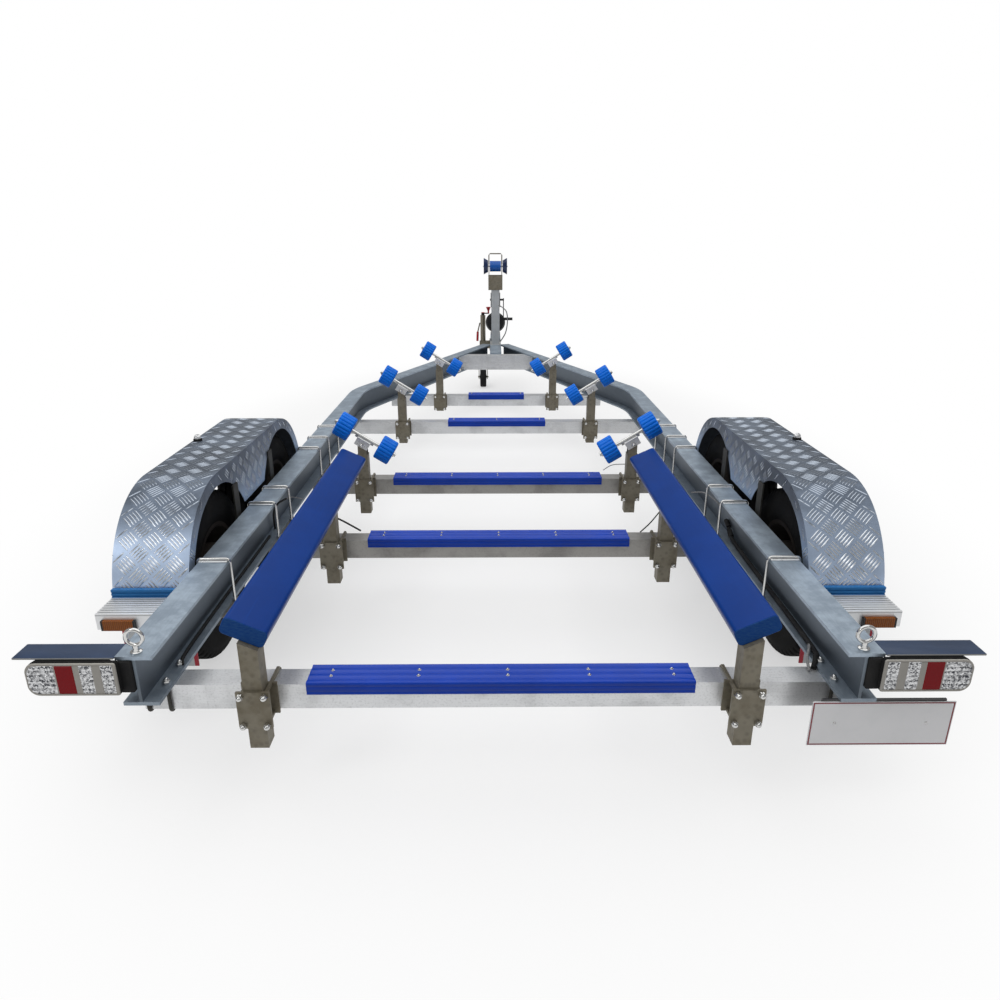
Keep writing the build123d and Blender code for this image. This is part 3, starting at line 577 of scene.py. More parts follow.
def bunk_finish():
    """Drawn plastic board: fine lines along it, a sawn rear end that is paler and rough."""
    c = colours()
    f = Finish("bunk_plastic", Specular_IOR_Level=0.08)
    flow = f.noise(120.0, 3.0, 0.6, stretch=(1.0, 0.03, 1.0))
    cloud = f.noise(5.0, 4.0, 0.6)
    saw = f.noise(300.0, 3.0, 0.7, stretch=(0.25, 1.0, 1.0))
    cut = 1.0 - f.y.rise(REAR + 0.0504, REAR + 0.0524)
    base = f.mix(cloud.rise(0.35, 0.72) * 0.5, shade(c.bunk, 0.9), shade(c.bunk, 1.2))
    base = f.mix(flow.rise(0.6, 0.8) * 0.15, base, shade(c.bunk, 2.0))
    base = f.mix(cut * (0.25 + saw.rise(0.3, 0.7) * 0.6), base, (0.03, 0.10, 0.27, 1.0))
    f.set(Base_Color=base, Roughness=0.26 + flow * 0.12 + cut * 0.35)
    return f.bump(flow * 0.4 + saw * cut * 1.4, 0.0007, 0.4).material


def flap_finish():
    """Pale flap with a red stripe 13 mm wide down each edge."""
    low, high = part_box("mudflaps")
    f = Finish("flap_plastic", Roughness=0.5)
    reach = abs(f.x)
    inner = 0.986
    border = 1.0 - reach.within(inner + 0.013, high[0] - 0.013)
    cloud = f.noise(12.0, 4.0, 0.6)
    pale = f.mix(cloud.rise(0.4, 0.7) * 0.5, (0.66, 0.68, 0.69, 1.0), (0.54, 0.55, 0.55, 1.0))
    f.set(Base_Color=f.mix(border, pale, (0.42, 0.012, 0.03, 1.0)))
    return f.bump(cloud, 0.0006, 0.3).material


def plate_finish():
    """Blank white plate with a thin dark-red line just inside its edge and an embossed rim."""
    low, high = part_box("number_plate")
    f = Finish("plate_white", Coat_Weight=0.3, Coat_Roughness=0.15)
    mid_x = (low[0] + high[0]) / 2
    mid_z = (low[2] + high[2] - 0.006) / 2
    dx = (high[0] - low[0]) / 2 - abs(f.x - mid_x)
    dz = (high[2] - 0.006 - low[2]) / 2 - abs(f.z - mid_z)
    edge = dx.least(dz)
    line = edge.within(0.0015, 0.0055)
    front = 1.0 - f.y.over(REAR + 0.0108)
    cloud = f.noise(18.0, 4.0, 0.6)
    pale = f.mix(cloud.rise(0.4, 0.7) * 0.4, (0.97, 0.97, 0.98, 1.0), (0.88, 0.89, 0.90, 1.0))
    base = f.mix(line, pale, (0.22, 0.006, 0.02, 1.0))
    f.set(Base_Color=f.mix(front, (0.03, 0.03, 0.032, 1.0), base), Roughness=0.3 + cloud * 0.15)
    return f.bump(edge.rise(0.001, 0.003) * (1.0 - edge.rise(0.0045, 0.007)), 0.0008, 0.8).material


def board_finish():
    """Painted shelf: glossy navy, a bare bright edge along the rear."""
    c = colours()
    f = Finish("board_blue", Specular_IOR_Level=0.3)
    cloud = f.noise(8.0, 4.0, 0.6)
    fine = f.noise(180.0, 2.0, 0.5)
    base = f.mix(cloud.rise(0.35, 0.7) * 0.5, shade(c.board, 0.85), shade(c.board, 1.3))
    bare = 1.0 - f.y.rise(REAR - 0.0058, REAR - 0.0045)
    f.set(Base_Color=f.mix(bare, base, (0.30, 0.30, 0.29, 1.0)), Roughness=0.28 + cloud * 0.14)
    return f.bump(fine, 0.0003, 0.3).material


def step_finish():
    """Drawn step: pale silver ribs, grey low in the grooves."""
    c = colours()
    f = Finish("step_aluminium", Metallic=0.6)
    lines = f.noise(200.0, 4.0, 0.7, stretch=(0.03, 1.0, 1.0))
    cloud = f.noise(10.0, 5.0, 0.6)
    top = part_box("steps")[1][2]
    groove = 1.0 - f.z.rise(top - 0.0045, top - 0.0005)
    base = f.mix(cloud.rise(0.35, 0.7) * 0.4, shade(c.bright, 1.16), shade(c.bright, 0.9))
    # Grey low in the grooves
    base = f.mix(groove * f.z.over(top - 0.006) * 0.7, base, (0.25, 0.26, 0.27, 1.0))
    f.set(Base_Color=base, Roughness=0.34 + lines * 0.2)
    return f.bump(lines, 0.0005, 0.3).material


def jockey_finish():
    """Dipped stand with a red winding knob, a black crank and a red grip on its lever."""
    c = colours()
    f = Finish("jockey_zinc", Specular_IOR_Level=0.4)
    near = f.cellular(60.0)[0]
    cloud = f.noise(15.0, 5.0, 0.65)
    base = f.mix(near.rise(0.1, 0.55) * 0.5, shade(c.zinc, 0.82), shade(c.zinc, 1.3))
    knob = f.z.over(0.7208).most((1.0 - f.x.over(-0.156)) * f.z.within(0.44, 0.5425))
    crank = f.z.within(0.6975, 0.7208)
    base = f.mix(crank, base, (0.012, 0.012, 0.013, 1.0))
    base = f.mix(knob, base, f.mix(cloud, (0.50, 0.006, 0.012, 1.0), (0.38, 0.004, 0.01, 1.0)))
    f.set(Base_Color=base, Roughness=0.3 + cloud * 0.2, Metallic=0.55 * (1.0 - knob.most(crank)))
    return f.bump(near, 0.0005, 0.3).material


def bow_finish():
    """Bow roller: blue centre, dark cups with lighter lips, bright spindle where it shows."""
    c = colours()
    f = Finish("bow_plastic", Specular_IOR_Level=0.4)
    away = ((f.y - (REAR + 5.440)) ** 2.0 + (f.z - 1.172) ** 2.0) ** 0.5
    spindle = 1.0 - away.over(0.0085)
    cup = abs(f.x).over(0.0655)
    cloud = f.noise(18.0, 4.0, 0.6)
    base = f.mix(cup, shade(c.roller, 0.55), (0.006, 0.013, 0.05, 1.0))
    base = f.mix(cloud * 0.35, base, shade(c.roller, 0.3))
    f.set(Base_Color=f.mix(spindle, base, (0.7, 0.7, 0.69, 1.0)), Metallic=spindle, Roughness=0.22 + cloud * 0.14)
    return f.bump(cloud, 0.0006, 0.3).material


def wheel_finish():
    """Silver rim; the drum and the rim's inner side carry painted shade, near black clouded with brown-grey."""
    f = Finish("rim_paint", Metallic=0.6)
    cloud = f.noise(12.0, 5.0, 0.6)
    fine = f.noise(160.0, 2.0, 0.5)
    inside = 1.0 - abs(f.x).over(1.114)
    base = f.mix(cloud.rise(0.4, 0.7) * 0.4, (0.56, 0.57, 0.58, 1.0), (0.40, 0.41, 0.42, 1.0))
    # Painted shade inside the wheel: near black clouded with brown-grey
    dust_and_shade = f.mix(cloud, (0.010, 0.010, 0.011, 1.0), (0.045, 0.035, 0.028, 1.0))
    f.set(Base_Color=f.mix(inside, base, dust_and_shade), Roughness=0.3 + cloud * 0.15 + inside * 0.3)
    return f.bump(fine, 0.0004, 0.3).material


def amber_finish():
    """Amber lens with fine upright ribs between dark ends."""
    low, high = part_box("side_lamps")
    f = Finish("lamp_amber", Specular_IOR_Level=0.2)
    rib = f.x.wave(0.006)
    ends = 1.0 - abs(f.x).within(1.104, high[0] - 0.006)
    cloud = f.noise(30.0, 3.0, 0.5)
    base = f.mix(rib * 0.6 + cloud * 0.2, (0.36, 0.10, 0.003, 1.0), (0.15, 0.032, 0.001, 1.0))
    f.set(Base_Color=f.mix(ends, base, (0.02, 0.02, 0.02, 1.0)), Roughness=0.16 + cloud * 0.1)
    return f.bump(rib, 0.0015, 0.6).material


def facets_finish():
    """Lens optics: painted reflections of small mirrors, each turned its own way, over painted light and shade in rows
    of cups.
    """
    f = Finish("lamp_facets", Specular_IOR_Level=0.6)
    near, tint = f.cellular(260.0)
    split = f.node("ShaderNodeSeparateColor", inputs={0: tint})
    mirror = Field(f.tree, split.outputs[0])
    # Painted light and shade of the cups: bright in the middle, dark at the edges
    cup = f.z.wave(0.0125) * (0.35 + f.x.wave(0.0125) * 0.65)
    # Painted reflections: each cell's random value sets how bright its mirror looks
    light = (mirror.rise(0.2, 0.65) * 0.75 + cup * 0.55).least(1.0)
    base = f.mix(light, (0.025, 0.03, 0.045, 1.0), (0.97, 0.98, 0.99, 1.0))
    f.set(Base_Color=base, Metallic=mirror * 0.4, Roughness=0.08 + near * 0.2)
    return f.bump(near, 0.0015, 0.6).material


# CAD nodes whose finish differs from their slot's: node, finish
OVERRIDES = (
    ("steps", "step_aluminium"),
    ("jockey_clamp", "jockey_zinc"),
    ("bow_roller", "bow_plastic"),
    # Painted shade: guard brackets and axle arms in zinc painted near black
    ("guard_brackets", "dark_zinc"),
    ("arms_rear", "dark_zinc"),
    ("arms_front", "dark_zinc"),
) + tuple(("cradle_%s_%s" % (row[0], word), "zinc_steel") for row in CRADLES for word, side in SIDES)


def make_finishes():
    """Every finish, keyed by the record's slot or by a piece's own name."""
    c = colours()
    FINISHES.update(
        rail_aluminium=rail_finish(),
        bright_aluminium=metal("bright_aluminium", c.bright, (0.03, 1.0, 1.0), 0.3, 0.45, 0.3, 0.75),
        stained_aluminium=metal("stained_aluminium", c.stained, (0.03, 1.0, 1.0), 0.42, 0.55, 0.25, 0.6),
        treadplate=treadplate_finish(),
        tread_bars=bars_finish(),
        galvanised=dipped("galvanised", c.zinc),
        packer=metal("packer", (0.80, 0.81, 0.82), (1.0, 1.0, 1.0), 0.22, 0.3, 0.1, 0.7),
        zinc_steel=metal("zinc_steel", c.plate, (1.0, 1.0, 1.0), 0.28, 0.35, 0.15, 0.85),
        post_paint=metal("post_paint", (0.50, 0.52, 0.53), (1.0, 1.0, 0.04), 0.36, 0.3, 0.1, 0.6),
        slide_plastic=slide_finish(),
        bunk_plastic=bunk_finish(),
        roller_plastic=plastic("roller_plastic", c.roller, 0.26, scuff=0.2, shine=0.2),
        tyre_rubber=rubber("tyre_rubber", (0.006, 0.006, 0.0065), 0.72, 0.15),
        rim_paint=wheel_finish(),
        black_paint=plastic("black_paint", (0.014, 0.014, 0.015), 0.35, scuff=0.05, coat=0.05),
        black_rubber=rubber("black_rubber", (0.02, 0.02, 0.021), 0.6, 0.3),
        flap_plastic=flap_finish(),
        lamp_red=plastic("lamp_red", (0.28, 0.001, 0.006), 0.14, scuff=0.02, shine=0.15),
        lamp_amber=amber_finish(),
        lamp_clear=facets_finish(),
        lamp_bezel=plastic("lamp_bezel", (0.46, 0.44, 0.40), 0.24, scuff=0.05, coat=0.1),
        jockey_zinc=jockey_finish(),
        bow_plastic=bow_finish(),
        # Zinc painted near black as shade, for parts that sit in shade
        dark_zinc=dipped("dark_zinc", (0.05, 0.048, 0.042)),
        hose_grey=rubber("hose_grey", (0.30, 0.30, 0.30), 0.5, 0.3),
        board_blue=board_finish(),
        strip_blue=plastic("strip_blue", (0.016, 0.17, 0.46), 0.4, grain=(0.05, 1.0, 1.0), scuff=0.2, coat=0.1),
        plate_white=plate_finish(),
        chrome=metal("chrome", (0.62, 0.62, 0.61), (1.0, 1.0, 1.0), 0.1, 0.3, 0.2, 1.0),
        step_aluminium=step_finish(),
    )


def dress(node, finish):
    """Puts a finish on a CAD node's own material slots."""
    for slot in NODES[node].material_slots:
        slot.material = FINISHES[finish]


# Fittings


def nut_shape(size, height, dome):
    """A six-sided nut that carries a dome: ring radius follows the hexagon low down and the circle higher up."""
    t = np.linspace(0.0, 2 * math.pi, 12, endpoint=False)
    hexagon = math.cos(math.pi / 6) / np.cos((t % (math.pi / 3)) - math.pi / 6)
    levels = (
        (0.0, size, 1.0), (height * 0.85, size, 1.0), (height, size * 0.9, 0.4),
        (height, dome, 0.0), (height + dome * 0.5, dome * 0.94, 0.0), (height + dome * 0.95, dome * 0.6, 0.0),
        (height + dome * 1.12, dome * 0.12, 0.0),
    )
    rings = []
    for z, radius, square in levels:
        r = radius * (square * hexagon + (1.0 - square))
        rings.append(np.stack([r * np.cos(t), r * np.sin(t), np.full_like(t, z)], axis=-1))
    return np.stack(rings)


def nuts(skin, origins, ups, size, height, dome, finish=0):
    """Nuts at many places, each standing along its own direction."""
    shape = nut_shape(size, height, dome)
    rows, columns = shape.shape[:2]
    flat = shape.reshape(-1, 3)
    origins = np.asarray(origins, dtype=float).reshape(-1, 3)
    up = np.broadcast_to(np.asarray(ups, dtype=float), origins.shape)
    spare = np.where(np.abs(up[:, 2:3]) > 0.9, np.array([X_AXIS]), np.array([Z_AXIS]))
    across = np.cross(spare, up)
    across /= np.linalg.norm(across, axis=1, keepdims=True)
    along = np.cross(up, across)
    points, faces = copies(flat, cells(rows, columns, wrap_v=True), origins, across, along, up)
    bottom = np.arange(columns)[::-1][None]
    top = (np.arange(columns) + (rows - 1) * columns)[None]
    start = skin.count
    skin.add(points, faces, finish)
    for cap in (bottom, top):
        moved = cap + (np.arange(len(origins)) * len(flat))[:, None]
        skin.faces.append(moved + start)
        skin.finish.append(np.full(len(moved), finish))


def cradle(side, x, y, pivot):
    """A cradle's axle direction, the direction square to it, and the axle's middle 30 mm above the pivot."""
    axis = np.array([side * math.cos(CRADLE_TILT), 0.0, math.sin(CRADLE_TILT)])
    up = np.array([-side * math.sin(CRADLE_TILT), 0.0, math.cos(CRADLE_TILT)])
    return axis, up, spot(side * x, y - 31.0, pivot) + up * 0.030


class TRAILER_OT_finishes(bpy.types.Operator):
    """Puts each CAD node's finish on it"""

    bl_idname = "trailer.finishes"
    bl_label = "Finishes"

    def execute(self, context):
        make_finishes()
        for row in frame["record"]["subparts"]:
            dress(row["node"], row["material_slot"])
        for node, finish in OVERRIDES:
            dress(node, finish)
        return {"FINISHED"}


class TRAILER_OT_tread_bars(bpy.types.Operator):
    """Raised bars of the mudguards' tread plate, in squares that turn one way and the other"""

    bl_idname = "trailer.tread_bars"
    bl_label = "Tread bars"

    def execute(self, context):
        s = sizes()
        low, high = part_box("guard_right")
        radius = 0.340
        rear, front = (REAR + y * MM for name, y in AXLES)
        level = high[2] - radius
        floor = low[2]
        arch = 0.295
        room = 0.0185

        def bar():
            """Lens-shaped bar: its half width falls to the ends, its height is (1 - v^2)(1 - 0.95 u^4), its rim is sunk."""
            u = np.array([-1.0, -0.72, 0.0, 0.72, 1.0])[:, None]
            v = np.array([-1.0, 0.0, 1.0])[None, :]
            half = np.sqrt(1.0 - 0.9 * u**2)
            z = s.bar_height * (1.0 - v**2) * (1.0 - 0.95 * u**4) - 0.0003
            x = u * s.bar_length / 2 + 0 * v
            y = v * half * s.bar_width / 2
            return np.stack([x, y, z + 0 * u], axis=-1).reshape(-1, 3)

        shape = bar()
        faces = cells(5, 3)
        rim = np.array([[0, 1, 2, 5, 8, 11, 14, 13, 12, 9, 6, 3]])

        def centres(span_a, span_b):
            """Bars' centres and turns on a plane of two lengths: squares of five on a lattice turned by 45 degrees."""
            reach = int((span_a + span_b) / s.cell) + 2
            i, j = np.meshgrid(np.arange(-reach, reach), np.arange(-reach, reach), indexing="ij")
            root = s.cell / math.sqrt(2)
            a = ((i + j) * root).ravel()
            b = ((i - j) * root).ravel()
            way = ((i + j) % 2).ravel() * math.pi / 2 + math.pi / 4
            offset = (np.arange(5) - 2) * s.cell / 5.4
            a = a[:, None] - np.sin(way)[:, None] * offset
            b = b[:, None] + np.cos(way)[:, None] * offset
            return a.ravel(), b.ravel(), np.repeat(way, 5)

        def place_on_top(skin, side):
            """The plate's wrap: along is the arc length round the rear end, the flat and the front end."""
            quarter = radius * math.pi / 2
            skirt = level - floor
            total = 2 * quarter + (front - rear) + 2 * skirt
            a, b, way = centres(total / 2, 0.13)
            keep = (np.abs(b) < (high[0] - low[0]) / 2 - room) & (np.abs(a) < total / 2 - room)
            a, b, way = a[keep] + total / 2, b[keep], way[keep]
            up_rear = np.clip(a, 0, skirt)
            t1 = np.clip((a - skirt) / radius, 0, math.pi / 2)
            flat = np.clip(a - skirt - quarter, 0, front - rear)
            t2 = np.clip((a - skirt - quarter - (front - rear)) / radius, 0, math.pi / 2)
            down = np.clip(a - skirt - 2 * quarter - (front - rear), 0, skirt)
            turn = t1 + t2
            y = rear + flat - radius * np.cos(t1) + radius * np.sin(t2)
            z = np.where(a < skirt, floor + up_rear, level + radius * np.sin(t1) - radius * (1 - np.cos(t2)) - down)
            along = np.stack([0 * a, np.sin(turn), np.cos(turn)], axis=-1)
            across = np.broadcast_to(np.array([side, 0.0, 0.0]), along.shape)
            normal = np.stack([0 * a, -np.cos(turn), np.sin(turn)], axis=-1)
            mid = side * (low[0] + high[0]) / 2
            origins = np.stack([mid + side * b, y, z], axis=-1)
            lay(skin, origins, along, across, normal, way)

        def place_on_side(skin, side, x, facing):
            """One skirt: a plane with the two wheel arches cut out of it."""
            a, b, way = centres(0.8, 0.25)
            y = (rear + front) / 2 + a
            z = level + 0.12 + b
            inside = np.ones(len(y), dtype=bool)
            for end, sign in ((rear, -1.0), (front, 1.0)):
                beyond = (y - end) * sign > 0
                corner = np.hypot(y - end, z - level) < radius - room
                edge = (y - end) * sign < radius - room
                inside &= np.where(beyond & (z > level), corner, np.where(beyond, edge, True))
                inside &= np.hypot(y - end, z - level) > arch + room
            inside &= (z < high[2] - room) & (z > floor + room)
            between = (y > rear) & (y < front)
            inside &= ~(between & (z < 0.488 + room))
            clear = np.abs(y - np.where(y < rear, rear, front)) > arch + room
            inside &= between | (z > level) | clear
            y, z, way = y[inside], z[inside], way[inside]
            origins = np.stack([np.full_like(y, side * x), y, z], axis=-1)
            along = np.broadcast_to(np.array([0.0, 1.0, 0.0]), origins.shape)
            normal = np.broadcast_to(np.array([side * facing, 0.0, 0.0]), origins.shape)
            across = np.broadcast_to(np.array([0.0, 0.0, 1.0]), origins.shape)
            lay(skin, origins, along, across, normal, way)

        def lay(skin, origins, along, across, normal, way):
            """Lays the bars at their turns; the face order follows the frame's handedness."""
            x_dir = along * np.cos(way)[:, None] + across * np.sin(way)[:, None]
            y_dir = np.cross(normal, x_dir)
            points, quads = copies(shape, faces, origins, x_dir, y_dir, normal)
            start = skin.count
            skin.add(points, quads)
            under = rim + (np.arange(len(origins)) * len(shape))[:, None] + start
            skin.faces.append(under)
            skin.finish.append(np.zeros(len(under), dtype=np.int64))

        for word, side in SIDES:
            skin = Skin()
            place_on_top(skin, side)
            place_on_side(skin, side, high[0], 1.0)
            place_on_side(skin, side, low[0], -1.0)
            piece = skin.object("tread_bars_" + word, ["tread_bars"], "trailer", angle=60.0)
        return {"FINISHED"}


class TRAILER_OT_rollers(bpy.types.Operator):
    """Ribbed rollers: ribs along the axle, rounded shoulders and a bore for the rod"""

    bl_idname = "trailer.rollers"
    bl_label = "Ribbed rollers"

    def execute(self, context):
        s = sizes()
        radius = 0.060
        half = 0.038
        bore = 0.0088
        profile = [
            (-half, bore), (-half, 0.018), (-half + 0.004, 0.021), (-half + 0.004, 0.040), (-half, 0.044),
            (-half, radius - 0.007), (-half + 0.0022, radius - 0.002), (-half + 0.006, radius),
            (-half * 0.5, radius), (0.0, radius), (half * 0.5, radius),
            (half - 0.006, radius), (half - 0.0022, radius - 0.002), (half, radius - 0.007),
            (half, 0.044), (half - 0.004, 0.040), (half - 0.004, 0.021), (half, 0.018), (half, bore),
        ]

        def ribbed(r, t, a):
            """Radius less a groove: depth times one minus the root of |sin(n t / 2)|, only on the outer face."""
            groove = 1.0 - np.abs(np.sin(t * s.ribs / 2)) ** 0.55
            return np.where(r > 0.050, r - s.rib_depth * groove, r)

        for word, side in SIDES:
            for name, x, y, pivot in CRADLES:
                axis, _, centre = cradle(side, x, y, pivot)
                skin = Skin()
                for end in (-1, 1):
                    points = turned(profile, s.ribs * 8, axis, Y_AXIS, centre + axis * end * 0.110, ribbed)
                    skin.grid(points, wrap_u=True, wrap_v=True)
                body = "rollers_%s_%s" % (name, word)
                piece = skin.object("roller_skins_%s_%s" % (name, word), ["roller_plastic"], body, angle=50.0)
                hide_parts("rollers_%s_%s" % (name, word))
        return {"FINISHED"}


class TRAILER_OT_tyres(bpy.types.Operator):
    """Road tyres: grooved tread, shoulder slots and ringed side walls"""

    bl_idname = "trailer.tyres"
    bl_label = "Tyres"

    def execute(self, context):
        s = sizes()
        profile = [
            (-0.0805, 0.1784), (-0.0830, 0.184), (-0.0845, 0.192), (-0.0880, 0.204), (-0.0892, 0.206), (-0.0905, 0.218),
            (-0.0925, 0.238), (-0.0915, 0.256), (-0.0890, 0.270), (-0.0882, 0.271), (-0.0872, 0.279), (-0.0845, 0.291),
            (-0.0790, 0.298), (-0.0710, 0.3035), (-0.0600, 0.3045), (-0.0470, 0.3048), (-0.0462, 0.3048), (-0.0400, 0.3048),
            (-0.0392, 0.3048), (-0.0180, 0.305), (-0.0172, 0.305), (-0.0110, 0.305), (-0.0102, 0.305), (0.0, 0.305),
        ]
        profile = profile + [(-a, r) for a, r in profile[-2::-1]]
        profile = profile + [(0.0700, 0.1784), (0.0, 0.1784), (-0.0700, 0.1784)]
        grooves = ((-0.0470, -0.0392), (-0.0180, -0.0102), (0.0102, 0.0180), (0.0392, 0.0470))
        pitch = 56

        def cut(r, t, a):
            """Radius less the depth inside a groove's width, or inside a slot of the shoulder at each pitch."""
            ring = np.zeros_like(a, dtype=bool)
            for low, high in grooves:
                wall = (np.abs(a - low) < 0.0004) | (np.abs(a - high) < 0.0004)
                ring |= (a > low - 0.0001) & (a < high + 0.0001) & ~wall
            phase = (t * pitch / (2 * math.pi) + np.abs(a) * 9.0) % 1.0
            slot = (np.abs(a) > 0.052) & (r > 0.288) & (phase < 0.22)
            block = (np.abs(a) < 0.039) & (np.abs(a) > 0.0185) & (((phase + 0.4) % 1.0) < 0.13)
            centre = (np.abs(a) < 0.0100) & (((phase + 0.2) % 1.0) < 0.10)
            depth = np.where(ring & (r > 0.29), s.tread_depth, 0.0)
            depth = np.maximum(depth, np.where(slot, s.tread_depth * 0.75, 0.0))
            depth = np.maximum(depth, np.where((block | centre) & (r > 0.29), s.tread_depth * 0.5, 0.0))
            return r - depth

        for row, y in AXLES:
            for word, side in SIDES:
                skin = Skin()
                points = turned(profile, pitch * 6, X_AXIS, Y_AXIS, spot(side * WHEEL_X, y, WHEEL_Z), cut)
                skin.grid(points, wrap_u=True, wrap_v=True)
                body = "road_wheel_%s_%s" % (row, word)
                piece = skin.object("tyre_skin_%s_%s" % (row, word), ["tyre_rubber"], body, angle=32.0)
                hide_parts("tyre_%s_%s" % (row, word))
        return {"FINISHED"}


class TRAILER_OT_wheel_fittings(bpy.types.Operator):
    """Wheel nuts and grease cap of each road wheel"""

    bl_idname = "trailer.wheel_fittings"
    bl_label = "Wheel fittings"

    def execute(self, context):
        for row, y in AXLES:
            for word, side in SIDES:
                skin = Skin()
                t = np.arange(5) * 2 * math.pi / 5 + 0.3
                hub = spot(side * (WHEEL_X + 21.0), y, WHEEL_Z)
                ring = hub + 0.057 * np.stack([0 * t, np.cos(t), np.sin(t)], axis=-1)
                nuts(skin, ring, (side, 0.0, 0.0), 0.0105, 0.016, 0.008)
                cap = [(0.0, 0.026), (0.010, 0.0262), (0.013, 0.024), (0.0225, 0.0225),
                       (0.0255, 0.020), (0.0275, 0.012), (0.028, 0.002)]
                skin.closed(turned(cap, 36, (side, 0.0, 0.0), Y_AXIS, spot(side * (WHEEL_X + 59.0), y, WHEEL_Z)))
                body = "road_wheel_%s_%s" % (row, word)
                piece = skin.object("wheel_fittings_%s_%s" % (row, word), ["zinc_steel"], body)
        return {"FINISHED"}


class TRAILER_OT_fasteners(bpy.types.Operator):
    """Domed nuts on the post clamps, screws of the keel slides and bolts of the drawbar"""

    bl_idname = "trailer.fasteners"
    bl_label = "Fasteners"

    def execute(self, context):
        skin = Skin()
        posts = ((645.0, 91.0), (645.0, 1075.0)) + tuple(row[1:3] for row in CRADLES)
        origins = []
        for side in (-1, 1):
            for x, y in posts:
                for across in (-31.0, 31.0):
                    for z in (MEMBER_LOW - 6.5, MEMBER_TOP + 6.5):
                        origins.append(spot(side * x + across, y - 64.2, z))
        nuts(skin, origins, (0.0, -1.0, 0.0), 0.0096, 0.0095, 0.0078)
        piece = skin.object("clamp_nuts", ["chrome"], "trailer")

        screws = Skin()
        origins = []
        places = [(91.0, x) for x in (-459.0, -223.0, 18.0, 239.0, 468.0)]
        for (y, half), count in zip(SLIDES[1:], (5, 5, 3, 2)):
            places += [(y, x) for x in np.linspace(-half * 0.885, half * 0.885, count)]
        for y, x in places:
            for dy in (23.7, 51.3):
                origins.append(spot(x, y + dy, MEMBER_TOP + 9.8))
        nuts(screws, origins, Z_AXIS, 0.0052, 0.0012, 0.0036)
        foot = [spot(x, POST_Y + y, 481.0) for x in (-40.0, 40.0) for y in (-60.0, 60.0)]
        nuts(screws, foot, Z_AXIS, 0.0090, 0.0080, 0.0060)
        flange = [spot(side * x, y, 342.0) for side in (-1, 1) for x in (889.0, 947.0) for y in (84.5, 172.5)]
        nuts(screws, flange, Z_AXIS, 0.0105, 0.0095, 0.0070)
        plate = [spot(x, 8.0, 262.0) for x in (870.0, 1110.0)]
        nuts(screws, plate, (0.0, -1.0, 0.0), 0.0042, 0.0010, 0.0032)
        piece = screws.object("slide_screws", ["chrome"], "trailer")
        return {"FINISHED"}


class TRAILER_OT_rail_clamps(bpy.types.Operator):
    """Round U-bolts over the rails with their packers, plates and nuts"""

    bl_idname = "trailer.rail_clamps"
    bl_label = "Rail clamps"

    def execute(self, context):
        inner, outer, crown, corner = 866.0, 970.0, 483.5, 13.0
        plate_low = MEMBER_TOP - 6.0
        rows = ((570.0, "mount"), (1100.0, "member"), (1292.0, "mount"),
                (1880.0, "member"), (2080.0, "mount"), (2310.0, "plate"))

        def hoop(side, y, foot):
            """Leg, quarter circle, crown, quarter circle and leg: corner + r (cos t, sin t) at the two turns."""
            t = np.linspace(0.0, math.pi / 2, 7)
            rise, fall = corner * np.sin(t), corner * np.cos(t)
            x = np.concatenate([[inner], inner + corner - fall, outer - corner + rise, [outer]])
            z = np.concatenate([[foot], crown - corner + rise, crown - corner + fall, [308.0]])
            return np.stack([side * x * MM, np.full_like(x, y * MM + REAR), z * MM], axis=-1)

        for word, side in SIDES:
            skin = Skin()
            under = []
            for y, bears in rows:
                foot = 239.0 if bears == "member" else 308.0
                skin.tube(hoop(side, y, foot), 0.0044, 10, 1)
                pad = rounded(0.092, 0.027, 0.004, 4)
                top = spot(side * RAIL_X, y, RAIL_TOP)
                skin.bar(pad, top, spot(side * RAIL_X, y, RAIL_TOP + 4.3), X_AXIS, Y_AXIS, 0.0012, 0)
                for kind, x, shape in (
                    ("plate", RAIL_X, (0.120, 0.044, 0.006)), ("member", RAIL_X + 24.0, (0.072, 0.024, 0.004)),
                ):
                    if bears == kind:
                        ends = [spot(side * x, y, z) for z in (plate_low, MEMBER_TOP)]
                        skin.bar(rounded(*shape), ends[0], ends[1], X_AXIS, Y_AXIS, 0.001, 0)
                under.append(spot(side * inner, y, MEMBER_LOW if bears == "member" else plate_low))
                under.append(spot(side * outer, y, plate_low))
            nuts(skin, under, (0.0, 0.0, -1.0), 0.0085, 0.0080, 0.0062, 1)
            # U-bolts under the flange, in zinc painted near black as shade
            t = np.linspace(0.0, math.pi / 2, 7)
            y = np.concatenate([[84.5], 99.5 - 15.0 * np.cos(t), 157.5 + 15.0 * np.sin(t), [172.5]])
            z = np.concatenate([[345.0], 266.5 - 15.0 * np.sin(t), 266.5 - 15.0 * np.cos(t), [345.0]])
            for x in (889.0, 947.0):
                path = np.stack([np.full_like(y, side * x * MM), y * MM + REAR, z * MM], axis=-1)
                skin.tube(path, 0.0050, 10, 2)
            piece = skin.object("rail_clamp_skins_" + word, ["packer", "chrome", "dark_zinc"], "trailer")
            if side > 0:
                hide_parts("rail_clamps")
        return {"FINISHED"}


